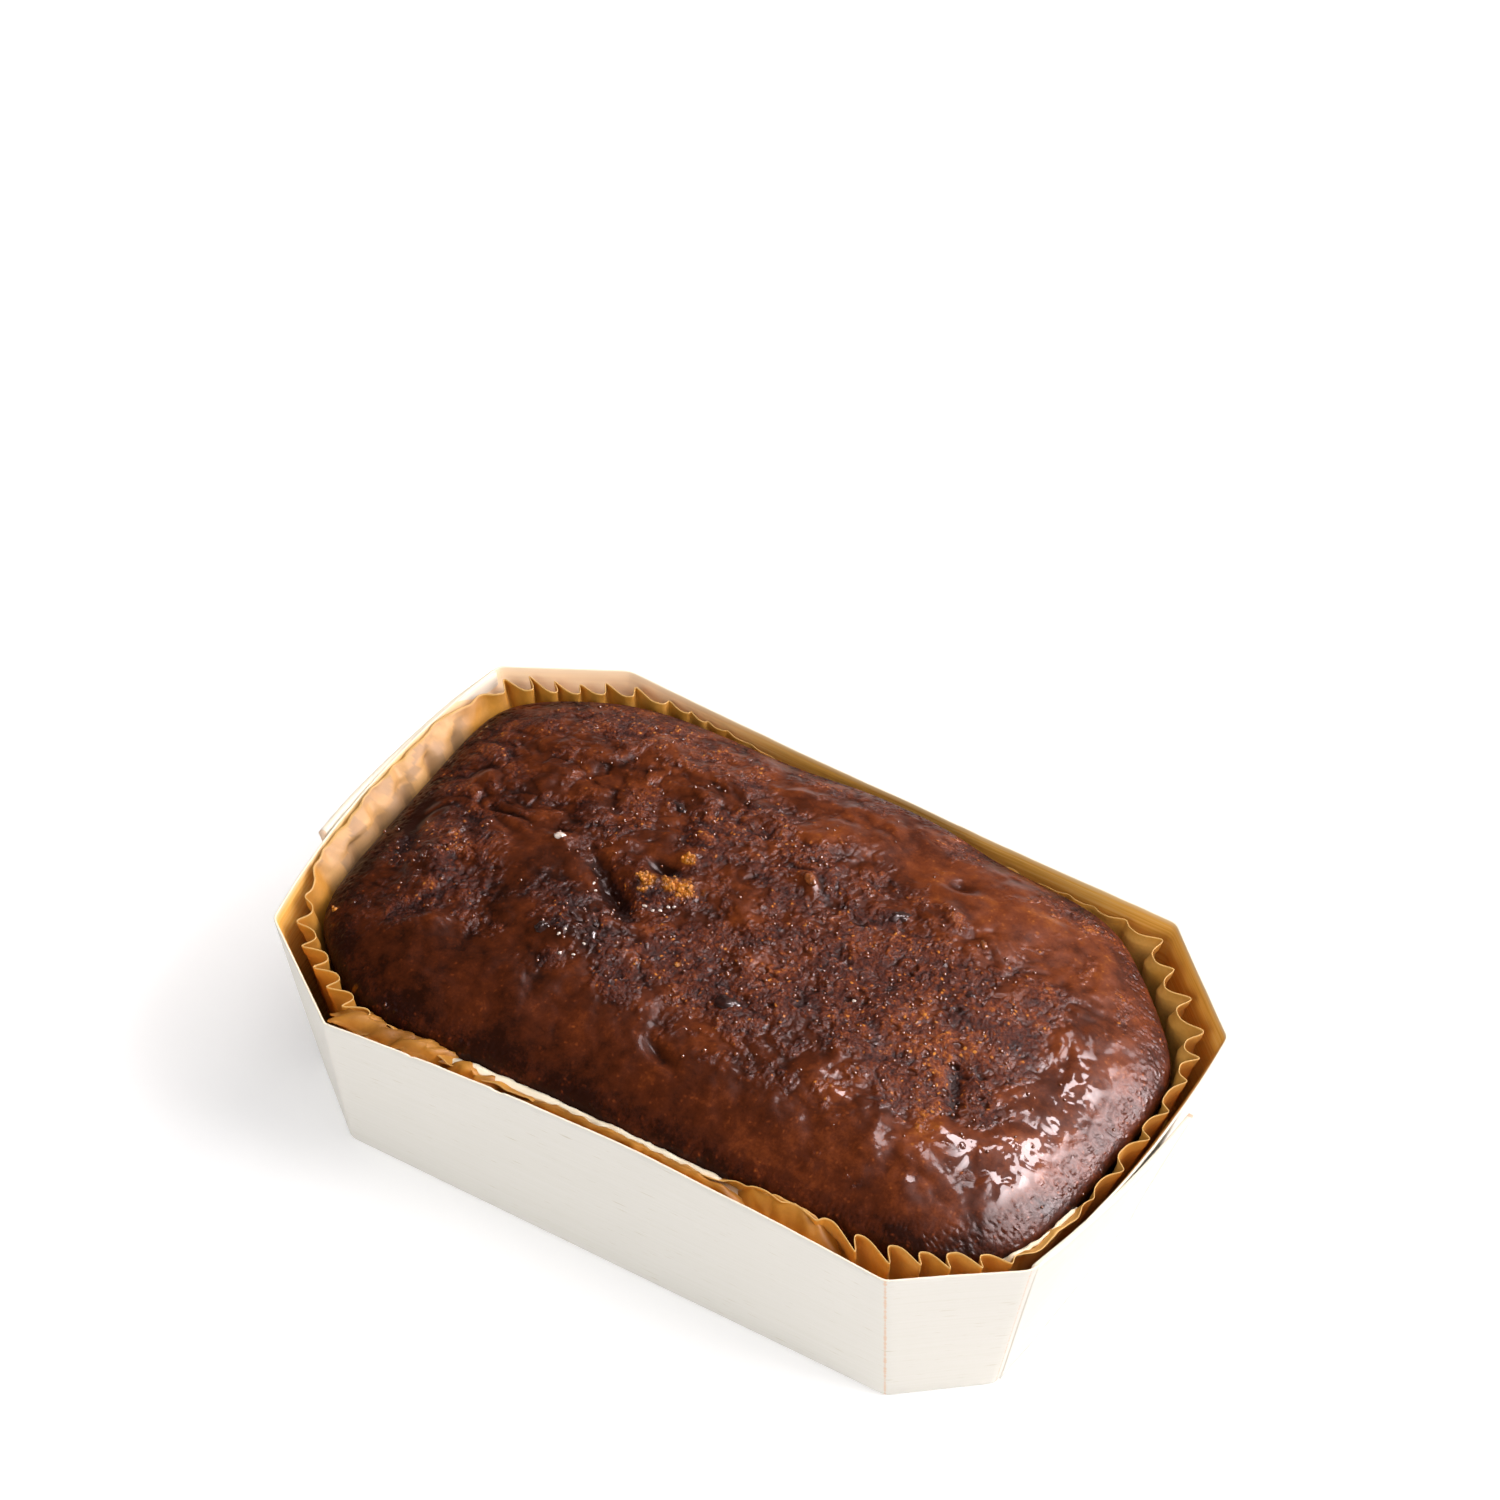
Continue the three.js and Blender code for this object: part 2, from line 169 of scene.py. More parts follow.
def addNode(tree, kind, inputs=None, stops=None, **settings):
    # inputs maps a socket's name or number to a value, or to the socket that feeds it;
    # stops fill a colour ramp
    node = tree.nodes.new(kind)
    for name, value in settings.items():
        setattr(node, name, value)
    if stops:
        elements = node.color_ramp.elements
        while len(elements) < len(stops):
            elements.new(1.0)
        for element, (place, colour) in zip(elements, stops):
            element.position = place
            element.color = colour if isinstance(colour, tuple) else toLinear(colour)
    for key, value in (inputs or {}).items():
        if isinstance(value, bpy.types.NodeSocket):
            tree.links.new(value, node.inputs[key])
        else:
            node.inputs[key].default_value = value
    return node


def compute(tree, operation, *values):
    return addNode(tree, "ShaderNodeMath", dict(enumerate(values)), operation=operation).outputs[0]


def weighted(tree, start, *terms):
    # start and each socket times its weight, added up
    for socket, weight in terms:
        start = compute(tree, "MULTIPLY_ADD", socket, weight, start)
    return start


def vectors(tree, operation, *values):
    return addNode(tree, "ShaderNodeVectorMath", dict(enumerate(values)), operation=operation).outputs[0]


def scaled(tree, vector, factor):
    return addNode(tree, "ShaderNodeVectorMath", {0: vector, "Scale": factor}, operation="SCALE").outputs[0]


def clamped(tree, value):
    return addNode(tree, "ShaderNodeClamp", {0: value}).outputs[0]


def remap(tree, value, fromLow, fromHigh, toLow=0.0, toHigh=1.0, **settings):
    return addNode(tree, "ShaderNodeMapRange", {
        "Value": value, "From Min": fromLow, "From Max": fromHigh, "To Min": toLow, "To Max": toHigh},
        **settings).outputs[0]


def noise(tree, place, scale, detail, roughness=0.5, distortion=0.0):
    return addNode(tree, "ShaderNodeTexNoise", {
        "Vector": place, "Scale": scale, "Detail": detail, "Roughness": roughness,
        "Distortion": distortion}).outputs["Fac"]


def ramp(tree, value, *stops):
    return addNode(tree, "ShaderNodeValToRGB", {"Fac": value}, stops=stops).outputs[0]


def mixed(tree, share, a, b):
    # from a to b, where b is a socket or a hex colour
    b = toLinear(b) if isinstance(b, str) else b
    return addNode(tree, "ShaderNodeMix", {0: share, "A": a, "B": b}, data_type="RGBA").outputs["Result"]


def surfaceValues(tree, *names):
    return [addNode(tree, "ShaderNodeAttribute", attribute_name=name).outputs["Fac"] for name in names]


def startMaterial(name):
    material = bpy.data.materials.new(name)
    material.use_nodes = True
    material.node_tree.nodes.clear()
    return material, material.node_tree


def finishMaterial(material, colour, heights, strength, depth, values, bumpedCoat=False):
    # depth is what a height of 1 stands for, in metres
    tree = material.node_tree
    bump = addNode(tree, "ShaderNodeBump", {
        "Height": heights, "Strength": strength, "Distance": depth}).outputs[0]
    normals = {"Normal": bump, "Coat Normal": bump} if bumpedCoat else {"Normal": bump}
    shader = addNode(tree, "ShaderNodeBsdfPrincipled", {"Base Color": colour, **values, **normals})
    addNode(tree, "ShaderNodeOutputMaterial", {"Surface": shader.outputs[0]})
    return material


def startTree(name, sockets):
    # a Geometry Nodes tree with named inputs
    tree = bpy.data.node_groups.new(name, "GeometryNodeTree")
    tree.interface.new_socket("Geometry", in_out="INPUT", socket_type="NodeSocketGeometry")
    for key, kind in sockets.items():
        tree.interface.new_socket(key, in_out="INPUT", socket_type="NodeSocket" + kind)
    tree.interface.new_socket("Geometry", in_out="OUTPUT", socket_type="NodeSocketGeometry")
    return tree, addNode(tree, "NodeGroupInput").outputs


def readValue(tree, name, kind="FLOAT"):
    node = addNode(tree, "GeometryNodeInputNamedAttribute", {"Name": name}, data_type=kind)
    return node.outputs["Attribute"]


def finishTree(tree, geometry, material):
    single = addNode(tree, "GeometryNodeRealizeInstances", {0: geometry}).outputs[0]
    dressed = addNode(tree, "GeometryNodeSetMaterial", {"Geometry": single, "Material": material}).outputs[0]
    addNode(tree, "NodeGroupOutput", {0: dressed})
    return tree


def bakeTree(piece, tree, values, name):
    # runs a Geometry Nodes tree on a piece and keeps the result as a plain mesh
    modifier = piece.modifiers.new(name, "NODES")
    modifier.node_group = tree
    sockets = {s.name: s.identifier for s in tree.interface.items_tree if s.in_out == "INPUT"}
    for key, value in values.items():
        modifier[sockets[key]] = value
    graph = bpy.context.evaluated_depsgraph_get()
    mesh = bpy.data.meshes.new_from_object(piece.evaluated_get(graph), preserve_all_data_layers=True,
                                           depsgraph=graph)
    piece.modifiers.remove(modifier)
    return addObject(name, mesh)


# The tray's outline, which everything else follows

trayShape = {
    "height": 40.6, "veneer": 1.2,
    "baseLength": 157.5, "baseWidth": 100.5, "chamferAlong": 16.5, "chamferAcross": 14.0,
    # rim corners, anticlockwise from the front left; each side starts at the corner of its own number
    "rim": [(-63.1, -57.1), (64.3, -55.0), (86.5, -37.7), (88.8, 34.3),
            (64.8, 55.7), (-64.6, 57.1), (-88.2, 43.6), (-87.3, -39.1)],
    "bow": [-3.1, 0, 2.8, 0, -0.8, 0, 3.8, 0], "bowRise": 1.5,
    "spacing": 0.8, "wallRows": 22, "foldSoftness": 2, "warp": 0.22, "rimWander": 0.12,
    "rimThickness": 0.5, "rimTaper": 7.0, "edgeEase": 0.12,
    "scoreFaint": [0.3, 0.0, 0.15, 0.3, 0.25, 0.3, 0.3, 0.3],
    "footEdge": [(0.0, 1.0), (0.25, 0.45), (0.6, 0.14)], "footTop": 1.2,  # how it rounds off: height, inset
    "paleCorner": 5, "paleness": 0.8,  # painted light: the back left corner's inside is painted paler, where light falls on it
    # flaps: side, reach along it, how far the free end has sprung off
    "flaps": [(2, 0.7, 1.4), (6, 0.7, 1.0)], "flapSteps": 64, "flapRows": 24, "flapStart": 0.02,
    "flapGlued": 0.25, "flapRoot": 0.8, "flapFoot": 0.2, "flapSunk": 0.4, "flapBottom": 0.6, "flapDrop": 0.4,
    "flapSlant": 0.9, "flapWave": 0.15,
}
sideCount = 8
trayHeight, veneer = trayShape["height"], trayShape["veneer"]
rimCorners = np.array(trayShape["rim"])
bow = np.array(trayShape["bow"])
# for each corner: which end, which side, and whether it ends a long side
cornerSigns = np.array([(-1, -1, 1), (1, -1, 1), (1, -1, 0), (1, 1, 0),
                        (1, 1, 1), (-1, 1, 1), (-1, 1, 0), (-1, -1, 0)])
onLongSide = cornerSigns[:, 2]
baseCorners = np.stack([
    cornerSigns[:, 0] * (trayShape["baseLength"] / 2 - trayShape["chamferAlong"] * onLongSide),
    cornerSigns[:, 1] * (trayShape["baseWidth"] / 2 - trayShape["chamferAcross"] * (1 - onLongSide))], 1)


def outwardNormals(corners):
    along = np.roll(corners, -1, 0) - corners
    return np.stack([along[:, 1], -along[:, 0]], 1) / np.hypot(*along.T)[:, None]


sideNormals = outwardNormals(rimCorners)
sideAngles = np.arctan2(sideNormals[:, 1], sideNormals[:, 0])


def cornersAt(level, inset):
    # the eight corners at level (0 base, 1 rim), moved inwards by inset
    plain = lerp(baseCorners, rimCorners, level)
    normal = outwardNormals(plain)
    reach = (normal * plain).sum(1) - inset
    before, beforeReach = np.roll(normal, 1, 0), np.roll(reach, 1)
    cross = before[:, 0] * normal[:, 1] - before[:, 1] * normal[:, 0]
    return np.stack([(beforeReach * normal[:, 1] - reach * before[:, 1]) / cross,
                     (reach * before[:, 0] - beforeReach * normal[:, 0]) / cross], 1)


def wallPoints(side, s, level, out=0.0, inset=0.0):
    # points on the tray's sides, at s along each and out from its face
    corners = cornersAt(level, inset)
    flat = lerp(corners[side], corners[(side + 1) % sideCount], s[:, None])
    push = bow[side] * 4 * s * (1 - s) * level ** trayShape["bowRise"] + out
    return flat + sideNormals[side] * push[:, None]


def roundTrip(spacing):
    # side numbers and places along them, evenly round the tray
    lengths = np.hypot(*(np.roll(rimCorners, -1, 0) - rimCorners).T)
    counts = np.round(lengths / spacing).astype(int)
    side = np.repeat(np.arange(sideCount), counts)
    s = np.concatenate([np.arange(n) / n for n in counts])
    starts = np.concatenate([[0], np.cumsum(lengths)[:-1]])
    return side, s, starts[side] + s * lengths[side], lengths[side]


def wallInset(z):
    # the peeled edge wears thin towards the rim
    return lerp(veneer, trayShape["rimThickness"], smooth((z - trayHeight) / trayShape["rimTaper"] + 1))


# The loaf's outline: a power mean of the eight sides rounds their corners off

loafShape = {
    "crown": 50.6, "rounding": 20, "flatness": 2.5, "shoulder": 1.8, "baseGap": 3.0,
    "gap": [4.6, 4.4, 3.8, 8.4, 2.0, 5.0, 5.2, 6.0],
    "edge": [36.6, 36.0, 35.6, 36.4, 41.0, 37.0, 36.6, 36.4],
    "bottom": 2.3, "cellsAlong": 540, "cellsAcross": 312, "sideRows": 9, "sideRelief": 0.25,
}
edgeHeights, edgeGaps = np.array(loafShape["edge"]), np.array(loafShape["gap"])


def blendSides(angle, values):
    weights = np.maximum(0, np.cos(angle[:, None] - sideAngles)) ** loafShape["rounding"]
    return (weights * np.asarray(values)).sum(1) / weights.sum(1)


def loafRadius(angle, depth):
    # depth 0 is the loaf's foot and 1 its upper edge
    total = 0.0
    for i in range(sideCount):
        level = lerp(loafShape["bottom"], edgeHeights[i], depth) / trayHeight
        middle = wallPoints(np.array([i]), np.array([0.5]), level, out=-veneer)[0]
        distance = middle @ sideNormals[i] - lerp(loafShape["baseGap"], edgeGaps[i], depth)
        total = total + (np.maximum(0, np.cos(angle - sideAngles[i])) / distance) ** loafShape["rounding"]
    return total ** (-1 / loafShape["rounding"])


def lookUp(table, share):
    # a value for each column, where share runs from 0 at the first row to 1 at the last
    place = share * (len(table) - 1)
    low, column = np.minimum(place.astype(int), len(table) - 2), np.arange(table.shape[1])
    return lerp(table[low, column], table[low + 1, column], place - low)


def loafRadiusAt(angle, depth):
    # the same where each angle has a depth of its own
    return lookUp(np.array([loafRadius(angle, level) for level in np.linspace(0, 1, 8)]), depth)


def wallRadius(angle, z):
    # where rays from the middle meet the tray's inner face
    side, s, _, _ = roundTrip(trayShape["spacing"])
    table = []
    for level in np.linspace(0, 1, 24):
        ring = wallPoints(side, s, level, inset=veneer)
        turn = np.arctan2(ring[:, 1], ring[:, 0])
        order = np.argsort(turn)
        table.append(np.interp(angle, turn[order], np.hypot(*ring[order].T), period=2 * math.pi))
    return lookUp(np.array(table), np.clip(z / trayHeight, 0, 1))


def evenAngles(count):
    # angles that step evenly along the loaf's upper edge, from the right end anticlockwise
    fine = np.linspace(0, 2 * math.pi, 4000, endpoint=False)
    r = loafRadius(fine, 1.0)
    points = np.stack([r * np.cos(fine), r * np.sin(fine)], 1)
    steps = np.hypot(*(np.roll(points, -1, 0) - points).T)
    travelled = np.concatenate([[0], np.cumsum(steps)])
    targets = travelled[-1] * np.arange(count) / count
    return np.interp(targets, travelled, np.append(fine, 2 * math.pi)), targets, travelled[-1]


# Materials

def poplarVeneer():
    # Peeled poplar veneer, bare: creamy white and matt outside, honey inside, partly baked colour and partly
    # painted shade of the tray's inside; fibres along the sheet
    material, tree = startMaterial("poplarVeneer")
    sheet = addNode(tree, "ShaderNodeAttribute", attribute_name="sheet").outputs["Vector"]  # along, up, in mm
    inside, fold, cut, depth, paintedLightPale = surfaceValues(tree, "inside", "fold", "cut", "depth", "paintedLightPale")

    def grain(along, up, *rest):
        # noise stretched along the sheet, with along and up in turns for each mm
        place = addNode(tree, "ShaderNodeMapping", {"Vector": sheet, "Scale": (along, up, 1.0)}).outputs[0]
        return noise(tree, place, 1.0, *rest)

    fibres = grain(0.03, 1.6, 5.0, 0.6, 0.3)  # 30 mm by 0.6 mm
    bands = grain(0.008, 0.22, 3.0)  # 5 mm high
    dashes = grain(0.16, 2.4, 2.0)  # short pores
    outer = ramp(tree, fibres, (0.3, "#d6d3ca"), (0.5, "#d8d5cd"), (0.72, "#dad7d0"))
    outer = mixed(tree, remap(tree, dashes, 0.66, 0.78), outer, "#c2baa6")
    # the inside's honey is partly baked colour and partly painted shade
    inner = ramp(tree, fibres, (0.32, "#c98a30"), (0.5, "#edb454"), (0.66, "#f6cd7e"))
    inner = mixed(tree, bands, inner, "#e6a948")
    inner = mixed(tree, remap(tree, depth, 0.2, 1.2, 0.7, 0.0), inner, "#e6cda4")  # paler just under the rim
    # painted light: paler on the back left corner's inside and on the flaps
    inner = mixed(tree, paintedLightPale, inner, "#efd6b8")
    # a score line is 0.3 mm wide, where the fibres tore and took colour
    score = remap(tree, compute(tree, "ADD", fold, dashes), 0.55, 0.85, 0.6, 0.0)
    colour = mixed(tree, score, mixed(tree, inside, outer, inner), "#d9a878")
    colour = mixed(tree, cut, colour, "#f4ead6")
    return finishMaterial(material, colour, fibres, 0.14, 0.0001, {
        "Roughness": 0.62, "IOR": 1.45, "Specular IOR Level": 0.22})


def bakingPaper():
    # Brown greaseproof baking paper, baked: satin, golden tan, darker in grease clouds and flecks; its tone
    # carries painted shade on pressed facets and painted light towards the right end, and its pale carries
    # painted light on the cream strips
    material, tree = startMaterial("bakingPaper")
    place = addNode(tree, "ShaderNodeTexCoord").outputs["Object"]
    tone, pale, rimEdge = surfaceValues(tree, "tone", "pale", "rimEdge")
    clouds = noise(tree, place, 140.0, 4.0)  # 7 mm
    fibres = noise(tree, place, 1400.0, 3.0)  # 0.7 mm flecks
    tone = weighted(tree, tone, (clouds, 0.45))
    colour = ramp(tree, tone, (0.1, "#8a5818"), (0.42, "#c98b34"), (0.75, "#e2ad5a"))
    colour = mixed(tree, remap(tree, fibres, 0.35, 0.7, 0.12, 0.0), colour, "#7d4f1a")
    # pale: cream paper, partly paler paper and partly painted light
    colour = mixed(tree, pale, colour, "#f2e8cf")
    colour = mixed(tree, rimEdge, colour, "#d0a560")
    return finishMaterial(material, colour, fibres, 0.3, 0.00012, {
        "Roughness": 0.55, "IOR": 1.5, "Specular IOR Level": 0.16})


def glazedSponge():
    # Dark date sponge under poured toffee sauce: wet gloss where the sauce is thick, amber where it is thin
    material, tree = startMaterial("glazedSponge")
    place = addNode(tree, "ShaderNodeTexCoord").outputs["Object"]
    cover, paintedReliefShade, amber, torn, crumby, band, wet, dark = surfaceValues(
        tree, "cover", "paintedReliefShade", "amber", "torn", "crumby", "edgeBand", "wet", "dark")
    warp = addNode(tree, "ShaderNodeTexNoise", {"Vector": place, "Scale": 180.0, "Detail": 2.0})
    bent = vectors(tree, "MULTIPLY_ADD", warp.outputs["Color"], (0.003, 0.003, 0.003), place)

    def dots(scale, channel, chosen, core, **settings):
        # round dots in some cells, and how far each place is from its cell's middle
        cell = addNode(tree, "ShaderNodeTexVoronoi", {"Vector": bent, "Scale": scale})
        pick = addNode(tree, "ShaderNodeSeparateColor", {0: cell.outputs["Color"]}).outputs[channel]
        middle = remap(tree, cell.outputs["Distance"], *core, **settings)
        return compute(tree, "MULTIPLY", remap(tree, pick, *chosen), middle), cell.outputs["Distance"]

    clouds = noise(tree, bent, 110.0, 2.0)  # 9 mm, how thick the sauce lies
    mottle = noise(tree, bent, 420.0, 4.0, 0.6)  # 2.4 mm
    grain = noise(tree, place, 1600.0, 4.0, 0.7)  # 0.7 mm
    wobble = noise(tree, place, 240.0, 1.0)  # 4 mm waves in the sauce
    specks, toCrumb = dots(1100.0, 0, (0.8, 0.93), (0.5, 0.1))  # 0.9 mm crumbs under the glaze
    # the crumb's speckle shows less through thick sauce
    speckle = weighted(tree, -0.83, (grain, 1.15), (mottle, 0.45), (specks, 0.75))
    speckle = compute(tree, "MULTIPLY", speckle, remap(tree, cover, 0.0, 1.0, 1.0, 0.3))
    # paintedReliefShade is painted shade in creases and pits and painted light on lumps
    tone = weighted(tree, -0.175, (clouds, 0.8), (mottle, 0.4), (speckle, 1.0), (paintedReliefShade, -0.26),
                    (amber, 0.26), (band, -0.16), (dark, -0.45))
    # in the tone above, the dark spots darken fruit and paint shade in the hole over the torn crumb and in
    # creases
    sauce = ramp(tree, tone, (0.1, "#260e05"), (0.42, "#4e210c"), (0.66, "#713516"), (0.85, "#8f4d1e"),
                 (1.0, "#b06c2c"))
    # the amber in the tone also carries painted light, lighter towards the back and the right end
    sponge = ramp(tree, tone, (0.1, "#260c06"), (0.42, "#4f1f0d"), (0.66, "#783716"), (0.85, "#a65b1f"),
                  (1.0, "#cd842f"))
    # the torn sponge is also painted darker in its creases, as painted shade
    gold = ramp(tree, weighted(tree, -0.35, (mottle, 0.8), (grain, 0.9), (paintedReliefShade, -0.3)),
                (0.2, "#5c2606"), (0.5, "#a85c10"), (0.75, "#cf8622"))
    colour = mixed(tree, torn, mixed(tree, cover, sponge, sauce), gold)
    bare = compute(tree, "SUBTRACT", 1.0, cover)
    uncovered = clamped(tree, weighted(tree, 0.0, (bare, 0.8), (crumby, 0.6), (band, 0.12)))
    # syrup beads on the crumb, about 1 mm across, each with its own glint
    beads, _ = dots(540.0, 1, (0.6, 0.7), (0.42, 0.1), interpolation_type="SMOOTHSTEP")
    beads = compute(tree, "MULTIPLY", beads, uncovered)
    soaked = compute(tree, "MULTIPLY", remap(tree, noise(tree, bent, 310.0, 2.0), 0.5, 0.6), uncovered)
    gloss = clamped(tree, weighted(tree, 0.02, (wet, 0.66), (beads, 1.0), (soaked, 0.2), (cover, 0.1)))
    # the finest relief fades under sauce, under syrup and at the browned edge
    calm = clamped(tree, weighted(tree, 1.0, (wet, -0.85), (band, -0.7)))
    relief = compute(tree, "MULTIPLY", remap(tree, cover, 0.0, 1.0, 1.0, 0.04), calm)
    grit, pitted = (compute(tree, "MULTIPLY", layer, relief) for layer in (grain, mottle))
    granules = compute(tree, "MULTIPLY", toCrumb, bare)
    heights = weighted(tree, 0.0, (grit, 0.5), (pitted, 0.5), (wobble, 0.5), (beads, 0.35), (granules, -0.3))
    return finishMaterial(material, colour, heights, 1.0, 0.001, {
        "Roughness": weighted(tree, 0.34, (bare, 0.2), (mottle, 0.1)), "IOR": 1.46,
        "Specular IOR Level": 0.08, "Coat Weight": gloss, "Coat Roughness": 0.03, "Coat IOR": 1.45},
        bumpedCoat=True)


def mottled(name, hexColour, scale, shades, strength, depth, values):
    # one colour, darker and lighter in spots; shades pairs a place on the ramp with a factor
    material, tree = startMaterial(name)
    place = addNode(tree, "ShaderNodeTexCoord").outputs["Object"]
    spots = noise(tree, place, scale, 4.0)
    body = toLinear(hexColour)[:3]
    stops = [(at, tuple(min(1, c * factor) for c in body) + (1.0,)) for at, factor in shades]
    return finishMaterial(material, ramp(tree, spots, *stops), spots, strength, depth, values)


def sugarGlass(name, hexColour):
    # Set toffee over fruit, nuts and loose crumbs: clear, wet gloss on a coloured body, 1.1 mm spots
    return mottled(name, hexColour, 900.0, [(0.3, 0.45), (0.55, 1.0), (0.8, 1.7)], 0.4, 0.0002, {
        "Roughness": 0.4, "IOR": 1.46, "Specular IOR Level": 0.2, "Coat Weight": 1.0, "Coat Roughness": 0.12,
        "Coat IOR": 1.48})


def spongeCrumb(name, hexColour):
    # Torn golden sponge: open, dry and matt; its 0.8 mm pores, the low spots of the bump, are painted darker
    # as painted shade
    return mottled(name, hexColour, 1300.0, [(0.3, 0.3), (0.52, 1.0), (0.75, 1.5)], 0.8, 0.0003, {
        "Roughness": 0.75, "IOR": 1.4})


veneerMaterial = poplarVeneer()
paperMaterial = bakingPaper()
spongeMaterial = glazedSponge()
print("materials made")


# Tray

def trayCup():
    side, s, along, length = roundTrip(trayShape["spacing"])
    size = len(side)
    faint = np.array(trayShape["scoreFaint"])[np.where(s < 0.5, side, (side + 1) % sideCount)]
    toFold = np.minimum(s, 1 - s) * length + faint  # distance to the nearest fold
    wander = trayShape["rimWander"]
    lift = wander * (lineNoise(along, 17.0, 5) + 0.6 * lineNoise(along, 4.0, 6))
    nicks = np.maximum(0, lineNoise(along, 1.9, 7) - 0.55) * (along < 40) * 0.9  # only at the front left
    rings, values = [], {"sheet": [], "inside": [], "cut": [], "depth": []}

    def addRing(z, inset, isInside, isCut):
        points = wallPoints(side, s, min(z, trayHeight) / trayHeight, inset=inset)
        warp = trayShape["warp"] * lineNoise(along, 23.0, 9, z) * smooth(z / 12)
        points = points + sideNormals[side] * warp[:, None]
        for _ in range(trayShape["foldSoftness"]):
            points = 0.25 * np.roll(points, 1, 0) + 0.5 * points + 0.25 * np.roll(points, -1, 0)
        height = z + (lift - nicks - wander) * (z / trayHeight) ** 12
        rings.append(np.column_stack([points, height]))
        values["sheet"].append(np.column_stack([along, np.full(size, z), np.full(size, 40.0 * isInside)]))
        for key, value in (("inside", isInside), ("cut", isCut), ("depth", trayHeight - z)):
            values[key].append(np.full(size, value))

    edge = trayShape["edgeEase"]
    for z, inset in trayShape["footEdge"]:
        addRing(z, inset, 0.0, 0.0)
    for z in np.linspace(trayShape["footTop"], trayHeight - edge, trayShape["wallRows"]):
        addRing(z, 0.0, 0.0, 0.0)
    addRing(trayHeight, edge, 0.0, 1.0)
    addRing(trayHeight, wallInset(trayHeight) - edge, 0.5, 1.0)
    for z in np.linspace(trayHeight - edge, veneer, trayShape["wallRows"]):
        addRing(z, wallInset(z), 1.0, 0.0)
    # the last two points are the middles of the foot and of the floor inside
    values["sheet"].append(np.zeros((2, 3)))
    for key, ends in (("inside", [0.0, 1.0]), ("cut", [0.0, 0.0]), ("depth", [40.0, 40.0])):
        values[key].append(ends)
    # painted light: the back left corner and the ends of its neighbours are painted paler
    corner = trayShape["paleCorner"]
    pale = np.where(side == corner, 1.0, np.where(side == corner - 1, smooth(s * 3 - 2), 0.0))
    pale = trayShape["paleness"] * (pale + np.where(side == corner + 1, smooth(1 - s * 2.5), 0.0))
    top = (len(rings) - 1) * size
    return {
        "points": np.concatenate(rings + [[(0.0, 0.0, 0.0), (0.0, 0.0, veneer)]]),
        "faces": [*loftFaces(len(rings), size), *fanFaces(np.arange(size), top + size, True),
                  *fanFaces(np.arange(size) + top, top + size + 1, False)],
        "fold": np.append(np.tile(toFold, len(rings)), [30.0, 30.0]),
        "paintedLightPale": np.append(np.tile(pale, len(rings)), [0.0, 0.0]),
        **{key: np.concatenate(rows) for key, rows in values.items()},
    }


def trayFlap(number, reach, spring):
    # the chamfer's sheet laps round the corner, lies glued on the end, then springs away
    length = np.hypot(*(rimCorners[(number + 1) % sideCount] - rimCorners[number]))
    side, direction = np.full(1, number), 1 if number == 2 else -1
    bottom, top = trayShape["flapBottom"], trayHeight - trayShape["flapDrop"]
    heights = np.clip(np.linspace(0, trayHeight, trayShape["flapRows"]), bottom, top)
    glued, foot, sunk = trayShape["flapGlued"], trayShape["flapFoot"], trayShape["flapSunk"]
    # up the sheet's inner face, over its eased edge and down its outer face
    edge = trayShape["edgeEase"]
    profile = [(0.0, z) for z in heights] + [(edge * veneer, top + edge), ((1 - edge) * veneer, top + edge)]
    profile += [(veneer, z) for z in heights[::-1]]
    rings, sheet, inside, cut, fold = [], [], [], [], []
    for step in np.linspace(0, 1, trayShape["flapSteps"]):
        s = np.full(1, lerp(trayShape["flapStart"], reach, step))
        base = lerp(-veneer * trayShape["flapRoot"], -sunk, smooth(step / glued))
        lift = (spring + sunk) * max(0, (step - glued) / (1 - glued))
        isEnd = step > 0.98
        for layer, z in profile:
            level = z / trayHeight
            x, y = wallPoints(side, s, level, out=base + layer + lift * lerp(foot, 1, level))[0]
            slant = trayShape["flapSlant"] * (level - 0.5) * step  # the cut end isn't square
            rings.append((x, y + slant * direction, z + trayShape["flapWave"] * math.sin(9 * step)))
            sheet.append((300 + 90 * number + s[0] * length, z, 10.0 * layer))
            inside.append(0.0 if layer > 0.5 * veneer else 0.2)
            cut.append(0.0 if isEnd else smooth((z - trayHeight + 0.75) / 0.3))
            fold.append(0.0 if isEnd else 30.0)
    size, points = len(profile), np.array(rings)
    count = len(points)
    return {
        "points": np.concatenate([points, [points[:size].mean(0), points[-size:].mean(0)]]),
        "faces": [*loftFaces(trayShape["flapSteps"], size), *fanFaces(np.arange(size), count, True),
                  *fanFaces(np.arange(size) + count - size, count + 1, False)],
        "fold": np.array(fold + [30.0, 0.0]),
        # painted light: the flaps are painted half as pale
        "paintedLightPale": np.full(count + 2, 0.5),
        "sheet": np.array(sheet + [sheet[0], sheet[-1]]),
        "inside": np.array(inside + [0.5, 0.5]),
        "cut": np.array(cut + [1.0, 0.0]),
        "depth": np.append(trayHeight - points[:, 2], [5.0, 5.0]),
    }


def joinParts(name, parts):
    points, faces, start = [], [], 0
    for part in parts:
        faces += [tuple(i + start for i in f) for f in part.pop("faces")]
        points.append(part.pop("points"))
        start += len(points[-1])
    return makeMesh(name, np.concatenate(points), faces,
                    {key: np.concatenate([part[key] for part in parts]) for key in parts[0]})


veneerTray = joinParts("veneerTray", [trayCup()] + [trayFlap(*flap) for flap in trayShape["flaps"]])
finishPiece(veneerTray, veneerMaterial, "tray")


# Loaf

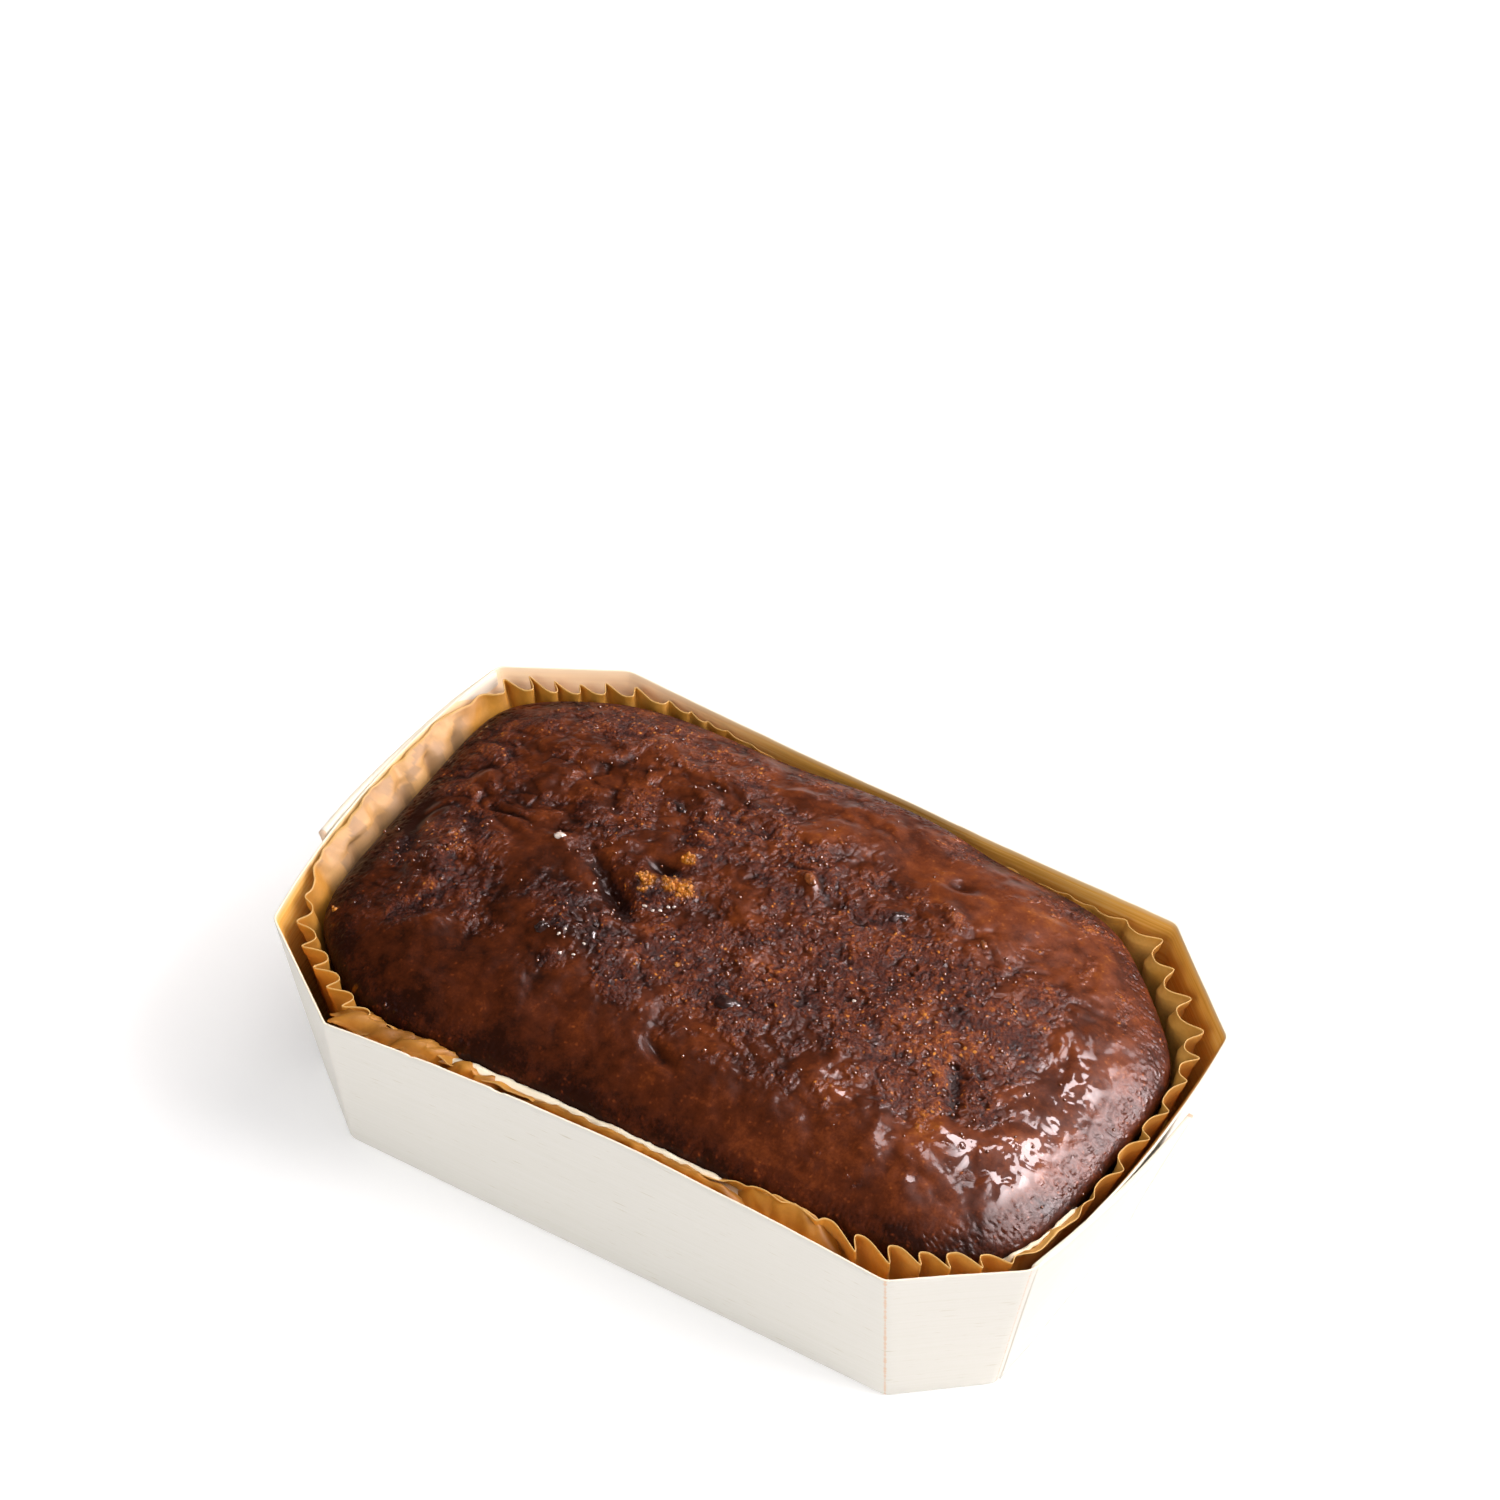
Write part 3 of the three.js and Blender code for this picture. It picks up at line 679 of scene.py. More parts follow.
loafRelief = {
    "warp": 2.6, "lumpCell": 14.0, "lumpHeight": 1.0, "foldCell": 8.0, "foldHeight": 0.8, "foldStretch": 0.7,
    "creaseCell": 4.2, "creaseStretch": 0.85, "creaseHeight": 0.38, "knobCell": 4.6, "knobHeight": 0.8,
    "crumbCell": 2.3, "crumbHeight": 0.34, "fineCell": 1.15, "fineHeight": 0.3, "holeDepth": 0.9,
    "pitCell": 0.95, "pitDepth": 0.42, "sauceLevel": -0.04, "sauceDrift": 0.32, "sauceSharpness": 8.0,
    # spots: place, half length and half width, turn in degrees, strength
    # where the sauce ran and pooled
    "sauce": [(-5, -39, 62, 10, -1, 1.0), (50, -36, 30, 8, 8, 0.8), (28, 36, 36, 9, -4, 0.95),
        (-46, -1, 11, 5, -8, 0.9), (-28, 10, 7, 3.5, 0, 0.6), (75, 4, 11, 26, 0, 1.2),
        (64, -28, 18, 12, 24, 1.1), (-52, -34, 12, 8, 10, 0.6), (-48, 34, 18, 9, 0, 0.35)],
    # broken, drier crumb
    "crumby": [(-67, -10, 9, 8, -70, 0.9), (-40, 8, 14, 7, 0, 0.4), (2, -11, 24, 12, -8, 0.8),
        (38, 1, 24, 14, -20, 0.85), (53, -14, 12, 9, -30, 0.8), (-10, 24, 34, 10, -8, 0.45),
        (-29, -17, 8, 6, 0, 0.7)],
    # glazed lumps with deep creases between them
    "lumpy": [(-48, 24, 34, 17, 0, 1.0), (-70, 2, 14, 26, 0, 0.9), (-2, 28, 34, 9, -6, 0.6)],
    # darker spots: the date in its split and the fruit under the sauce are dark fruit, while the hole over
    # the torn crumb and the creases are painted shade
    "dark": [(-29, -4.9, 7.5, 1.7, -36, 1.0), (-23.6, 6.2, 2.8, 1.2, -10, 1.0),
        (-77, -5, 11, 1.2, -74, 0.7), (-31.5, -18.8, 5.0, 2.6, 10, 0.55), (21.6, 20.4, 3.0, 1.8, 30, 0.6),
        (-30.3, 22.3, 2.6, 1.6, -20, 0.7), (5.1, -17.1, 2.8, 1.6, 10, 0.6), (-48, 27, 9, 1.2, 20, 0.5),
        (-60, 16, 7, 1.2, 60, 0.5), (52.5, -10, 8, 1.2, -62, 0.6), (-40, 33, 8, 1.2, -12, 0.4)],
    # clear wet syrup that mirrors the window
    "wet": [(76, 2, 12, 26, 0, 1.0), (50, -24, 14, 9, 20, 0.6), (64, -27, 20, 13, 26, 0.95),
        (44, -30, 20, 10, 10, 0.5), (-30, -6, 12, 5, -36, 0.5), (-30, -17, 9, 5, 0, 0.4),
        (4, 17, 9, 5, -35, 0.35), (54, -8, 18, 12, -50, 0.4), (30, -16, 24, 10, 0, 0.3),
        (-59, -29, 12, 4, 32, 0.25)],
    # ridges, lumps and hollows, whose strength is a height in mm
    "marks": [(-29.5, -4, 9, 2.6, -36, -3.6), (-24.5, 6, 3.2, 2, -10, -2.6), (-22, 3, 6.5, 3, 12, 1.7),
        (-21.4, 11.5, 2.6, 2, 0, 1.5), (-76, -5, 11, 1.8, -74, -1.9), (-68, -11, 8, 4.5, -70, 1.7),
        (-59, -28.5, 8, 2.2, 32, 1.4), (-31, -18.5, 5.5, 3.6, 0, 1.6), (-28.5, -13, 8, 1.6, 18, 1.3),
        (-46, 2.8, 3, 2, 20, 1.2), (2.4, 18.2, 3.6, 2.2, -35, 1.8), (31, 25.6, 3, 1.8, -40, 1.2),
        (26.5, 35.5, 3.4, 1.8, 10, -1.4), (0, -33.5, 4.5, 1.4, -25, -1.1), (52.5, -10, 8, 1.6, -62, -1.5),
        (76, -20, 8, 3.4, 62, 0.9), (73, 21, 6, 4, 40, 0.8), (-44, 24, 13, 3.4, 4, -1.3),
        (-58, 10, 11, 3, 24, -1.3), (-12, 30, 12, 3, -12, 1.0), (62, 6, 10, 6, -50, -0.9)],
    # amber light through thin sauce
    "amber": [(55, -22, 16, 8, 25, 0.9), (2, -24, 12, 6, 0, 0.8), (34, -42, 30, 8, 4, 0.6),
        (-30, -38, 18, 5, 0, 0.2), (40, -5, 18, 8, 0, 0.25), (-66, -8, 7, 4, -70, 0.35)],
    # torn golden sponge
    "torn": [(-21, 2.0, 6.6, 3.0, 12, 1.0), (-20.6, 10, 1.6, 1.3, 0, 1.0), (-7.9, -13.7, 1.5, 1.0, 20, 0.9),
        (-78.5, -30, 1.4, 1.1, 0, 0.7), (-76.9, -34, 1.6, 1.2, 0, 0.7), (-64.5, -44.4, 1.4, 1.0, 0, 0.6)],
}


def blurred(grid, passes):
    for _ in range(passes):
        grid = np.pad(grid, 1, mode="edge")
        grid = 0.25 * (grid[:-2] + 2 * grid[1:-1] + grid[2:])
        grid = 0.25 * (grid[:, :-2] + 2 * grid[:, 1:-1] + grid[:, 2:])
    return grid


def loafTop(x, y, ring, angle):
    # height of the top and its surface values, on a grid of points of the plan
    form = loafRelief
    sauce, crumby, lumpy, shine, dark = (
        np.clip(summed(x, y, form[name]), 0, most)
        for name, most in (("sauce", 1), ("crumby", 1.2), ("lumpy", 1), ("wet", 1), ("dark", 1)))
    calm = 1 - 0.85 * sauce
    fade = smooth((1 - ring) * 5)
    band = smooth((ring - 0.9) / 0.07)
    dome = (1 - ring ** loafShape["flatness"]) ** (1 / loafShape["shoulder"])
    edge = blendSides(angle.ravel(), edgeHeights).reshape(angle.shape)
    base = lerp(edge, loafShape["crown"], dome)
    # rounded lumps with creases between them, large and small
    wx, wy = (at + form["warp"] * (softNoise(x, y, 9.0, seed) + 0.12 * softNoise(x, y, 3.4, seed + 3))
              for at, seed in ((x, 21), (y, 22)))
    lumps = form["lumpHeight"] * layeredNoise(wx, wy, form["lumpCell"], 1, 2)
    knobs = pebbles(*grains(wx, wy, form["knobCell"], 43), 0.9, 0.3) - 0.3
    foldWave = layeredNoise(wx * form["foldStretch"], wy, form["foldCell"], 23, 2)
    creaseWave = layeredNoise(wx * form["creaseStretch"], wy, form["creaseCell"], 27, 2)
    folds = (calm * (1 - 0.5 * np.clip(crumby, 0, 1)) * (0.8 + 0.5 * lumpy)
             * (2.2 * np.sqrt(foldWave ** 2 + 0.008) - 0.7))
    creases = calm * (0.6 + 0.5 * lumpy) * (2.0 * np.sqrt(creaseWave ** 2 + 0.006) - 0.65)
    soft = (lumps + form["knobHeight"] * calm * (0.3 + 0.7 * lumpy) * knobs + form["foldHeight"] * folds
            + form["creaseHeight"] * creases + summed(x, y, form["marks"]))
    # broken crumb: pebbles of two sizes, with holes between them
    nx, ny = (at + 0.5 * softNoise(x, y, 3.1, seed) for at, seed in ((x, 8), (y, 9)))
    near, pick = grains(nx * 0.85, ny, form["crumbCell"], 3)
    fineNear, finePick = grains(nx, ny * 0.9, form["fineCell"], 4)
    fineBumps = pebbles(fineNear, finePick, 0.8, 0.1)
    holes = smooth((pick - 0.82) / 0.1) * smooth(1.2 - near / 0.45)
    crumb = (form["crumbHeight"] * pebbles(near, pick, 0.8, 0.1) + form["fineHeight"] * fineBumps
             + 0.35 * layeredNoise(nx, ny, 3.4, 13) - form["holeDepth"] * holes * (0.15 + crumby) - 0.3)
    crumb = crumb * (0.6 + 0.6 * crumby)
    # the sauce fills hollows and the crumb stands out of it
    level = (form["sauceLevel"] + 0.6 * sauce - 0.36 * crumby + 0.05 * lumpy
             + form["sauceDrift"] * layeredNoise(x, y, 7.0, 17, 2))
    wave = ((0.24 + 0.34 * shine) * layeredNoise(wx, wy, 6.6, 33, 2)
            + (0.05 + 0.04 * shine) * softNoise(nx, ny, 2.1, 34))
    sharp = form["sauceSharpness"]
    top = np.log(np.exp(sharp * crumb) + np.exp(sharp * (level + wave))) / sharp
    cover = smooth(0.5 + (level + wave - crumb) / 0.4)
    detail = soft + top + 0.1 * fineBumps * (1 - cover)
    pitNear, pitPick = grains(nx, ny, form["pitCell"], 41)
    pits = band * smooth((pitPick - 0.45) / 0.2) * smooth(1 - pitNear / 0.5)
    z = base + fade * detail - form["pitDepth"] * pits * smooth((1 - ring) * 30)
    # painted shade and light: creases and pits are painted darker and lumps paler, by how far each place lies
    # below its blurred surroundings
    paintedReliefShade = (blurred(detail, 30) - detail) / 0.5 + 0.5 * (blurred(detail, 4) - detail) / 0.1
    paintedReliefShade = np.clip(paintedReliefShade, -1, 1.3)
    paintedReliefShade = np.maximum(paintedReliefShade, 0.3 * paintedReliefShade)  # creases darken more than lumps pale
    patches = 0.2 + 0.8 * smooth(0.55 + 2.4 * layeredNoise(x, y, 8.0, 81, 2))
    tearing = 2.0 + 1.7 * softNoise(x, y, 1.9, 47)
    return z, {
        "cover": np.clip(cover * (1 - 0.25 * band), 0, 1),
        # painted shade: the pits of the browned edge are painted darker as well
        "paintedReliefShade": paintedReliefShade * (1 - 0.3 * sauce) + 0.4 * pits,
        "edgeBand": band,
        "crumby": np.clip(crumby, 0, 1),
        "wet": shine * (0.35 + 0.65 * cover) * (1 - 0.92 * smooth((ring - 0.88) / 0.05)) * patches,
        # dark fruit, and painted shade in the hole over the torn crumb and in creases
        "dark": dark,
        # painted light: the top is painted lighter towards the back and the right end, where the lamps light
        # it most
        "amber": (summed(x, y, form["amber"]) + 0.5 * np.clip(y / 45, -0.9, 0.8)
                  + 0.3 * np.clip(x / 80, -0.3, 1)),
        "torn": smooth(summed(x, y, form["torn"]) * tearing - 0.7 + 0.5 * (finePick - 0.5)),
    }


def loafMesh():
    # a square grid wrapped onto the outline, and below its edge the same outline down to the flat foot
    along, across = loafShape["cellsAlong"], loafShape["cellsAcross"]
    u, w = np.meshgrid(np.linspace(-1, 1, along + 1), np.linspace(-1, 1, across + 1), indexing="ij")
    ring = np.maximum(np.abs(u), np.abs(w))
    angle = np.arctan2(w * trayShape["baseWidth"] / 2, u * trayShape["baseLength"] / 2)
    r = ring * loafRadius(angle, 1.0)
    x, y = r * np.cos(angle), r * np.sin(angle)
    z, values = loafTop(x, y, ring, angle)
    top = np.column_stack([x.ravel(), y.ravel(), z.ravel()])
    n = across + 1
    i, j = np.meshgrid(np.arange(along), np.arange(across), indexing="ij")
    a = (i * n + j).ravel()
    faces = [np.stack([a, a + n, a + n + 1, a + 1], 1)]
    border = np.concatenate([np.arange(along) * n, along * n + np.arange(across),
                             along * n + across - np.arange(along) * n, across - np.arange(across)])
    rim = top[border]
    turn = np.arctan2(rim[:, 1], rim[:, 0])
    points, above, count = [top], border, len(top)
    for depth in np.linspace(1, 0, loafShape["sideRows"])[1:]:
        uneven = layeredNoise(turn * 70, turn * 0 + depth * 40, 3.0, 51)
        radius = loafRadius(turn, depth) + loafShape["sideRelief"] * uneven - loafShape["sideRelief"]
        height = lerp(loafShape["bottom"], rim[:, 2], depth)
        points.append(np.column_stack([radius * np.cos(turn), radius * np.sin(turn), height]))
        row = count + np.arange(len(border))
        faces.append(np.stack([row, np.roll(row, -1), np.roll(above, -1), above], 1))
        above, count = row, count + len(border)
    points.append([(0.0, 0.0, loafShape["bottom"])])
    faces = [*np.concatenate(faces), *fanFaces(above, count, True)]
    # no crumbs lie on the sides, which the paper hides
    for key, value in values.items():
        side = 0.0 if key in ("torn", "crumby") else value.ravel()[border].mean()
        values[key] = np.append(value.ravel(), np.full(count + 1 - len(top), side))
    return makeMesh("glazedLoaf", np.concatenate(points), faces, values)


glazedLoaf = loafMesh()


# Crumbs, fruit and nuts on the loaf

toppingShape = {
    "grainSeed": 12, "grainFaces": (7, 4), "bitFaces": (26, 16),
    # mask, how many for each square metre, smallest and largest radius in mm, seed
    "goldenCrumbs": ("torn", 2.4e6, 0.14, 0.5, 3),
    "glazedCrumbs": ("crumby", 1.7e5, 0.16, 0.42, 8),
    # place, half length, width and height, turn in degrees
    "dateBits": [(21.6, 20.4, 2.4, 1.5, 0.9, 30), (-30.3, 22.3, 2.1, 1.4, 0.9, -20),
        (5.1, -17.1, 2.2, 1.5, 0.9, 10), (-35.3, -20.0, 2.0, 1.3, 0.9, 40),
        (-26.8, -16.8, 1.7, 1.2, 0.8, -30), (44.0, 10.0, 1.5, 1.2, 0.7, 0)],
    "glazedNuts": [(2.8, 17.7, 1.5, 0.9, 0.6, -35), (39.5, 23.0, 1.1, 0.7, 0.5, -40)],
    # one pale nut chip, and small white shards that are painted glints, clustered where the glaze sparkles
    "nutBits": [(-46.4, 2.6, 1.1, 0.7, 0.5, 20), (-22.0, -4.2, 0.5, 0.3, 0.3, 10),
        (-20.2, -4.6, 0.45, 0.3, 0.25, 70), (-19.0, -3.5, 0.5, 0.35, 0.3, 30),
        (-17.9, -2.2, 0.4, 0.3, 0.25, 0), (-16.8, -1.8, 0.4, 0.25, 0.25, 50),
        (-31.6, -20.5, 0.45, 0.3, 0.3, 80), (-31.0, -19.2, 0.4, 0.3, 0.25, 20),
        (-26.2, -19.9, 0.4, 0.25, 0.25, 0), (-29.3, -23.8, 0.4, 0.3, 0.25, 45),
        (-26.7, -22.8, 0.35, 0.25, 0.2, 10), (-34.0, -4.4, 0.5, 0.3, 0.3, 70),
        (-32.5, -6.0, 0.4, 0.25, 0.25, 60), (26.0, -4.0, 0.45, 0.3, 0.25, 50)],
}


def ball(columns, rows):
    # a unit sphere's points from its lowest to its highest, its quads, and the triangles at its poles
    tilt, turn = np.meshgrid(math.pi * np.arange(1, rows) / rows, 2 * math.pi * np.arange(columns) / columns,
                             indexing="ij")
    rings = np.stack([np.sin(tilt) * np.cos(turn), np.sin(tilt) * np.sin(turn), -np.cos(tilt)], -1)
    first = np.arange(columns) + 1
    last = first + (rows - 2) * columns
    return (np.concatenate([[(0, 0, -1)], rings.reshape(-1, 3), [(0, 0, 1)]]),
            loftFaces(rows - 1, columns, first=1),
            np.concatenate([fanFaces(first, 0, True), fanFaces(last, last[-1] + 1, False)]))


def grainMesh(name, seed):
    # one uneven crumb about 1 mm in radius, in a few faces
    columns, rows = toppingShape["grainFaces"]
    points, walls, caps = ball(columns, rows)
    row, column = np.divmod(np.arange(columns * (rows - 1)), columns)
    points[1:-1] *= (1 + 0.3 * lattice(row + 1, column, seed))[:, None]
    return makeMesh(name, points, [*walls, *caps])


def strewTree(mask):
    tree, given = startTree("strew" + mask, {"Density": "Float", "Smallest": "Float", "Largest": "Float",
                                             "Seed": "Int", "Grain": "Object", "Material": "Material"})
    share = compute(tree, "MULTIPLY", readValue(tree, mask), given["Density"])
    points = addNode(tree, "GeometryNodeDistributePointsOnFaces", {
        "Mesh": given["Geometry"], "Density": share, "Seed": given["Seed"]}).outputs["Points"]
    grain = addNode(tree, "GeometryNodeObjectInfo", {"Object": given["Grain"]}).outputs["Geometry"]
    turn = addNode(tree, "FunctionNodeRandomValue", {
        "Min": (0.0, 0.0, 0.0), "Max": (6.28, 6.28, 6.28), "Seed": given["Seed"]},
        data_type="FLOAT_VECTOR").outputs[0]
    size = addNode(tree, "FunctionNodeRandomValue", {
        2: given["Smallest"], 3: given["Largest"], "Seed": given["Seed"]}, data_type="FLOAT").outputs[1]
    strewn = addNode(tree, "GeometryNodeInstanceOnPoints", {
        "Points": points, "Instance": grain, "Rotation": turn, "Scale": size}).outputs[0]
    return finishTree(tree, strewn, given["Material"])


def strew(name, material):
    mask, density, smallest, largest, seed = toppingShape[name]
    grain = grainMesh(name + "Grain", toppingShape["grainSeed"] + seed)
    piece = bakeTree(glazedLoaf, strewTree(mask), {
        "Density": density, "Smallest": smallest, "Largest": largest, "Seed": seed, "Grain": grain,
        "Material": material}, name)
    bpy.data.objects.remove(grain)
    finishPiece(piece, material)


def placeBits(name, sink, wrinkle, material):
    # wrinkled lumps, each sunk into the top where it lies
    unit, walls, caps = ball(*toppingShape["bitFaces"])
    u, v, w = unit.T
    points, faces = [], []
    for number, (px, py, length, width, height, degrees) in enumerate(toppingShape[name]):
        seed = 70 + 5 * number
        swell = (1 + wrinkle * layeredNoise(u * 2 + w, v * 2 - w, 1.1, seed, 3)
                 + 0.25 * softNoise(u + 3, v + w, 1.4, seed + 1))
        x, y, z = (unit * swell[:, None] * (length, width, height)).T
        c, s = math.cos(math.radians(degrees)), math.sin(math.radians(degrees))
        top = loafPoints[np.argmin(np.hypot(loafPoints[:, 0] - px, loafPoints[:, 1] - py)), 2]
        faces += [*(walls + len(unit) * number), *(caps + len(unit) * number)]
        points.append(np.column_stack([px + x * c - y * s, py + x * s + y * c, top - sink * height + z]))
    finishPiece(makeMesh(name, np.concatenate(points), faces), material)


loafPoints = np.array([v.co for v in glazedLoaf.data.vertices]) / mm
loafPoints = loafPoints[loafPoints[:, 2] > 30]
strew("goldenCrumbs", spongeCrumb("goldenCrumb", "#c47a1d"))
strew("glazedCrumbs", sugarGlass("glazedCrumb", "#6b3413"))
placeBits("dateBits", 0.6, 0.45, sugarGlass("glazedDate", "#2b120b"))
placeBits("glazedNuts", 0.4, 0.45, sugarGlass("toffeeNut", "#8c4d24"))
placeBits("nutBits", 0.35, 0.5, sugarGlass("whiteNutAndGlintGlaze", "#dccabd"))
finishPiece(glazedLoaf, spongeMaterial, "pudding")


# Liner: a smooth sheet that Geometry Nodes fold into pleats

linerShape = {
    "columns": 1300, "clearance": 0.35, "thickness": 0.2, "crumple": 1.2,
    "pleatCurl": 0.1, "pleatSkew": 0.12, "pleatRoundness": 1.5,
    # angle round the loaf, pleat pitch, how open, where the inner folds stand (0 at the loaf, 1 at the
    # tray), top
    "stations": [
        (-150, 4.8, 0.60, 0.12, 39.4), (-141, 4.8, 0.50, 0.15, 39.2), (-136, 6.0, 0.25, 0.30, 38.0),
        (-126, 7.0, 0.15, 0.62, 37.8), (-118, 6.5, 0.12, 0.72, 38.4), (-90, 6.5, 0.12, 0.72, 38.6),
        (-66, 6.0, 0.15, 0.50, 38.8), (-58, 7.0, 0.15, 0.14, 39.6), (-48, 7.0, 0.20, 0.10, 39.9),
        (-42, 5.2, 0.70, 0.08, 39.9), (-30, 5.2, 0.75, 0.08, 40.0), (-25, 5.0, 0.50, 0.20, 39.4),
        (-21, 6.0, 0.12, 0.74, 38.8), (-13, 6.0, 0.12, 0.74, 38.6), (-9, 7.0, 0.50, 0.30, 38.2),
        (-3, 8.0, 0.70, 0.15, 38.2), (10, 8.0, 0.72, 0.15, 38.4), (22, 7.0, 0.55, 0.30, 38.8),
        (38, 7.0, 0.50, 0.30, 38.8), (46, 6.5, 0.30, 0.25, 38.0), (60, 6.0, 0.15, 0.30, 37.0),
        (115, 5.2, 0.20, 0.35, 37.0), (124, 5.0, 0.40, 0.30, 38.2), (134, 4.9, 0.55, 0.30, 39.4),
        (140, 4.9, 0.70, 0.15, 39.5), (153, 4.9, 0.70, 0.15, 39.7), (158, 6.0, 0.40, 0.50, 40.2),
        (164, 9.0, 0.60, 0.99, 40.7), (192, 9.0, 0.60, 0.99, 40.7), (200, 5.2, 0.50, 0.30, 40.0),
        (210, 4.8, 0.60, 0.12, 39.4),
    ],
}


def linerSheet():
    columns, clearance = linerShape["columns"], linerShape["clearance"]
    stations = np.array(linerShape["stations"], float)
    stationAngle = np.radians(stations[:, 0])
    angle, travel, total = evenAngles(columns)
    turn = np.where(angle > stationAngle[-1], angle - 2 * math.pi, angle)
    pitch, opening, inner, top = (np.interp(turn, stationAngle, stations[:, k]) for k in (1, 2, 3, 4))
    phase = np.cumsum((1 + 0.3 * lineNoise(travel, 9.0, 61)) / pitch) * (total / columns)
    phase = phase * round(phase[-1]) / phase[-1]
    opening = opening * (1 + 0.22 * lineNoise(travel, 6.0, 62))
    top = top + 0.35 * lineNoise(travel, 7.0, 63)
    edge = blendSides(angle, edgeHeights)
    # where the loaf swells over the paper, the paper ends below its edge
    shoulder = np.minimum(edge, top - 0.6)
    flat = smooth((inner - 0.7) / 0.2)  # 1 where the paper lies pressed against the tray
    # painted light: the paper towards the right end is painted lighter
    paintedLightRight = smooth((np.cos(turn) - 0.55) / 0.25)
    # 0 at the foot, 1 where the loaf's edge or the paper's shoulder is, 2 at the free edge
    fromFoot = np.concatenate([np.linspace(0, 1, 8), np.linspace(1, 2, 9)[1:]])
    points, reach, swing, tones = [], [], [], []
    for t in fromFoot:
        z = lerp(loafShape["bottom"], shoulder, min(t, 1.0)) + max(0.0, t - 1.0) * (top - shoulder)
        depth = np.clip((z - loafShape["bottom"]) / (edge - loafShape["bottom"]), 0, 1)
        low = loafRadiusAt(angle, depth) + clearance
        high = wallRadius(angle, z) + veneer - wallInset(z) - clearance
        room = np.maximum(0.3, high - low)
        lean = lerp(0.1, inner, smooth((t - 0.4) / 1.6))
        wide = opening * lerp(0.35, 1.0, smooth(t / 1.2))
        points.append(np.column_stack([low * np.cos(angle), low * np.sin(angle), z]))
        reach.append(np.column_stack([room * np.cos(angle), room * np.sin(angle), 0 * angle]) * mm)
        swing.append(np.column_stack([lean, np.minimum(wide * (1 - lean), 1 - lean), 0 * angle + t / 2]))
        # painted shade: paper pressed against the tray is painted darker, each facet with a shade of its own
        paintedFacetShade = grains(travel + 2 * lineNoise(travel, 4.0, 65, 6 * t), travel * 0 + 9 * t, 3.6, 66)[1]
        tones.append(0.2 + 0.1 * lineNoise(travel, 5.0, 64, 9 * t) + flat * (0.34 * paintedFacetShade - 0.3)
                     + 0.16 * paintedLightRight)
    rows, last = len(fromFoot), np.zeros((1, 3))
    # the last point is the middle of the paper's floor
    faces = [*loftFaces(rows, columns), *fanFaces(np.arange(columns), rows * columns, True)]
    aside = np.column_stack([-np.sin(angle), np.cos(angle), 0 * angle]) * mm
    return makeMesh("linerSheet", np.concatenate(points + [[(0.0, 0.0, veneer + 0.4)]]), faces, {
        "reach": np.concatenate(reach + [last]), "swing": np.concatenate(swing + [last]),
        "aside": np.concatenate([aside] * rows + [last]),
        "phase": np.append(np.tile(phase, rows), 0.0),
        "pitch": np.append(np.tile(pitch, rows), 0.0),
        "tone": np.append(np.concatenate(tones), 0.3),
        "rimEdge": np.append(np.repeat((fromFoot > 1.99) * 1.0, columns), 0.0),
        "pale": np.append(np.tile(0.14 * flat, rows), 0.0),
    })


def pleatTree():
    tree, given = startTree("pleatPaper", {"Curl": "Float", "Skew": "Float", "Roundness": "Float",
                                           "Crumple": "Float", "Seed": "Float", "Material": "Material"})
    reach, swing, aside = (readValue(tree, name, "FLOAT_VECTOR") for name in ("reach", "swing", "aside"))
    lean, swung, height = addNode(tree, "ShaderNodeSeparateXYZ", {0: swing}).outputs
    around = compute(tree, "MULTIPLY", readValue(tree, "phase"), 2 * math.pi)
    even = compute(tree, "MULTIPLY_ADD", compute(tree, "COSINE", around), -0.499, 0.5)
    # folds are broad against the loaf and pinched at the tray
    wave = compute(tree, "POWER", even, given["Roundness"])
    outward = scaled(tree, reach, compute(tree, "MULTIPLY_ADD", wave, swung, lean))
    # outer folds close up and inner folds open out, more so towards the free edge
    curl = compute(tree, "MULTIPLY", compute(tree, "SINE", around), given["Curl"])
    sideways = compute(tree, "MULTIPLY_ADD", wave, given["Skew"], curl)
    for factor in (height, swung, readValue(tree, "pitch")):
        sideways = compute(tree, "MULTIPLY", sideways, factor)
    offset = vectors(tree, "ADD", outward, scaled(tree, aside, sideways))
    # paper that isn't pleated is pressed into facets, which grow up the sheet and end before its free edge
    place = addNode(tree, "GeometryNodeInputPosition").outputs[0]
    facets = addNode(tree, "ShaderNodeTexVoronoi", {"Vector": place, "Scale": 200.0}).outputs["Distance"]
    taper = compute(tree, "MULTIPLY", compute(tree, "SUBTRACT", 1.08, height), height)
    depth = compute(tree, "MULTIPLY", facets, remap(tree, swung, 0.3, 0.05))
    facetMove = scaled(tree, reach, compute(tree, "MULTIPLY", depth, taper))
    offset = vectors(tree, "ADD", offset, scaled(tree, facetMove, -2.2))
    crumple = addNode(tree, "ShaderNodeTexNoise", {"Vector": place, "W": given["Seed"], "Scale": 190.0,
                                                   "Detail": 1.5}, noise_dimensions="4D").outputs["Color"]
    centred = vectors(tree, "SUBTRACT", crumple, (0.5, 0.5, 0.5))
    loose = scaled(tree, centred, compute(tree, "MULTIPLY", given["Crumple"], height))
    placed = addNode(tree, "GeometryNodeSetPosition", {
        "Geometry": given["Geometry"], "Offset": vectors(tree, "ADD", offset, loose)}).outputs[0]
    return finishTree(tree, placed, given["Material"])


flatLiner = linerSheet()
pleatedLiner = bakeTree(flatLiner, pleatTree(), {
    "Curl": linerShape["pleatCurl"], "Skew": linerShape["pleatSkew"],
    "Roundness": linerShape["pleatRoundness"], "Crumple": linerShape["crumple"] * mm, "Seed": 4.0,
    "Material": paperMaterial}, "pleatedLiner")
bpy.data.objects.remove(flatLiner)
finishPiece(pleatedLiner, paperMaterial, "liner", linerShape["thickness"], 0.0)

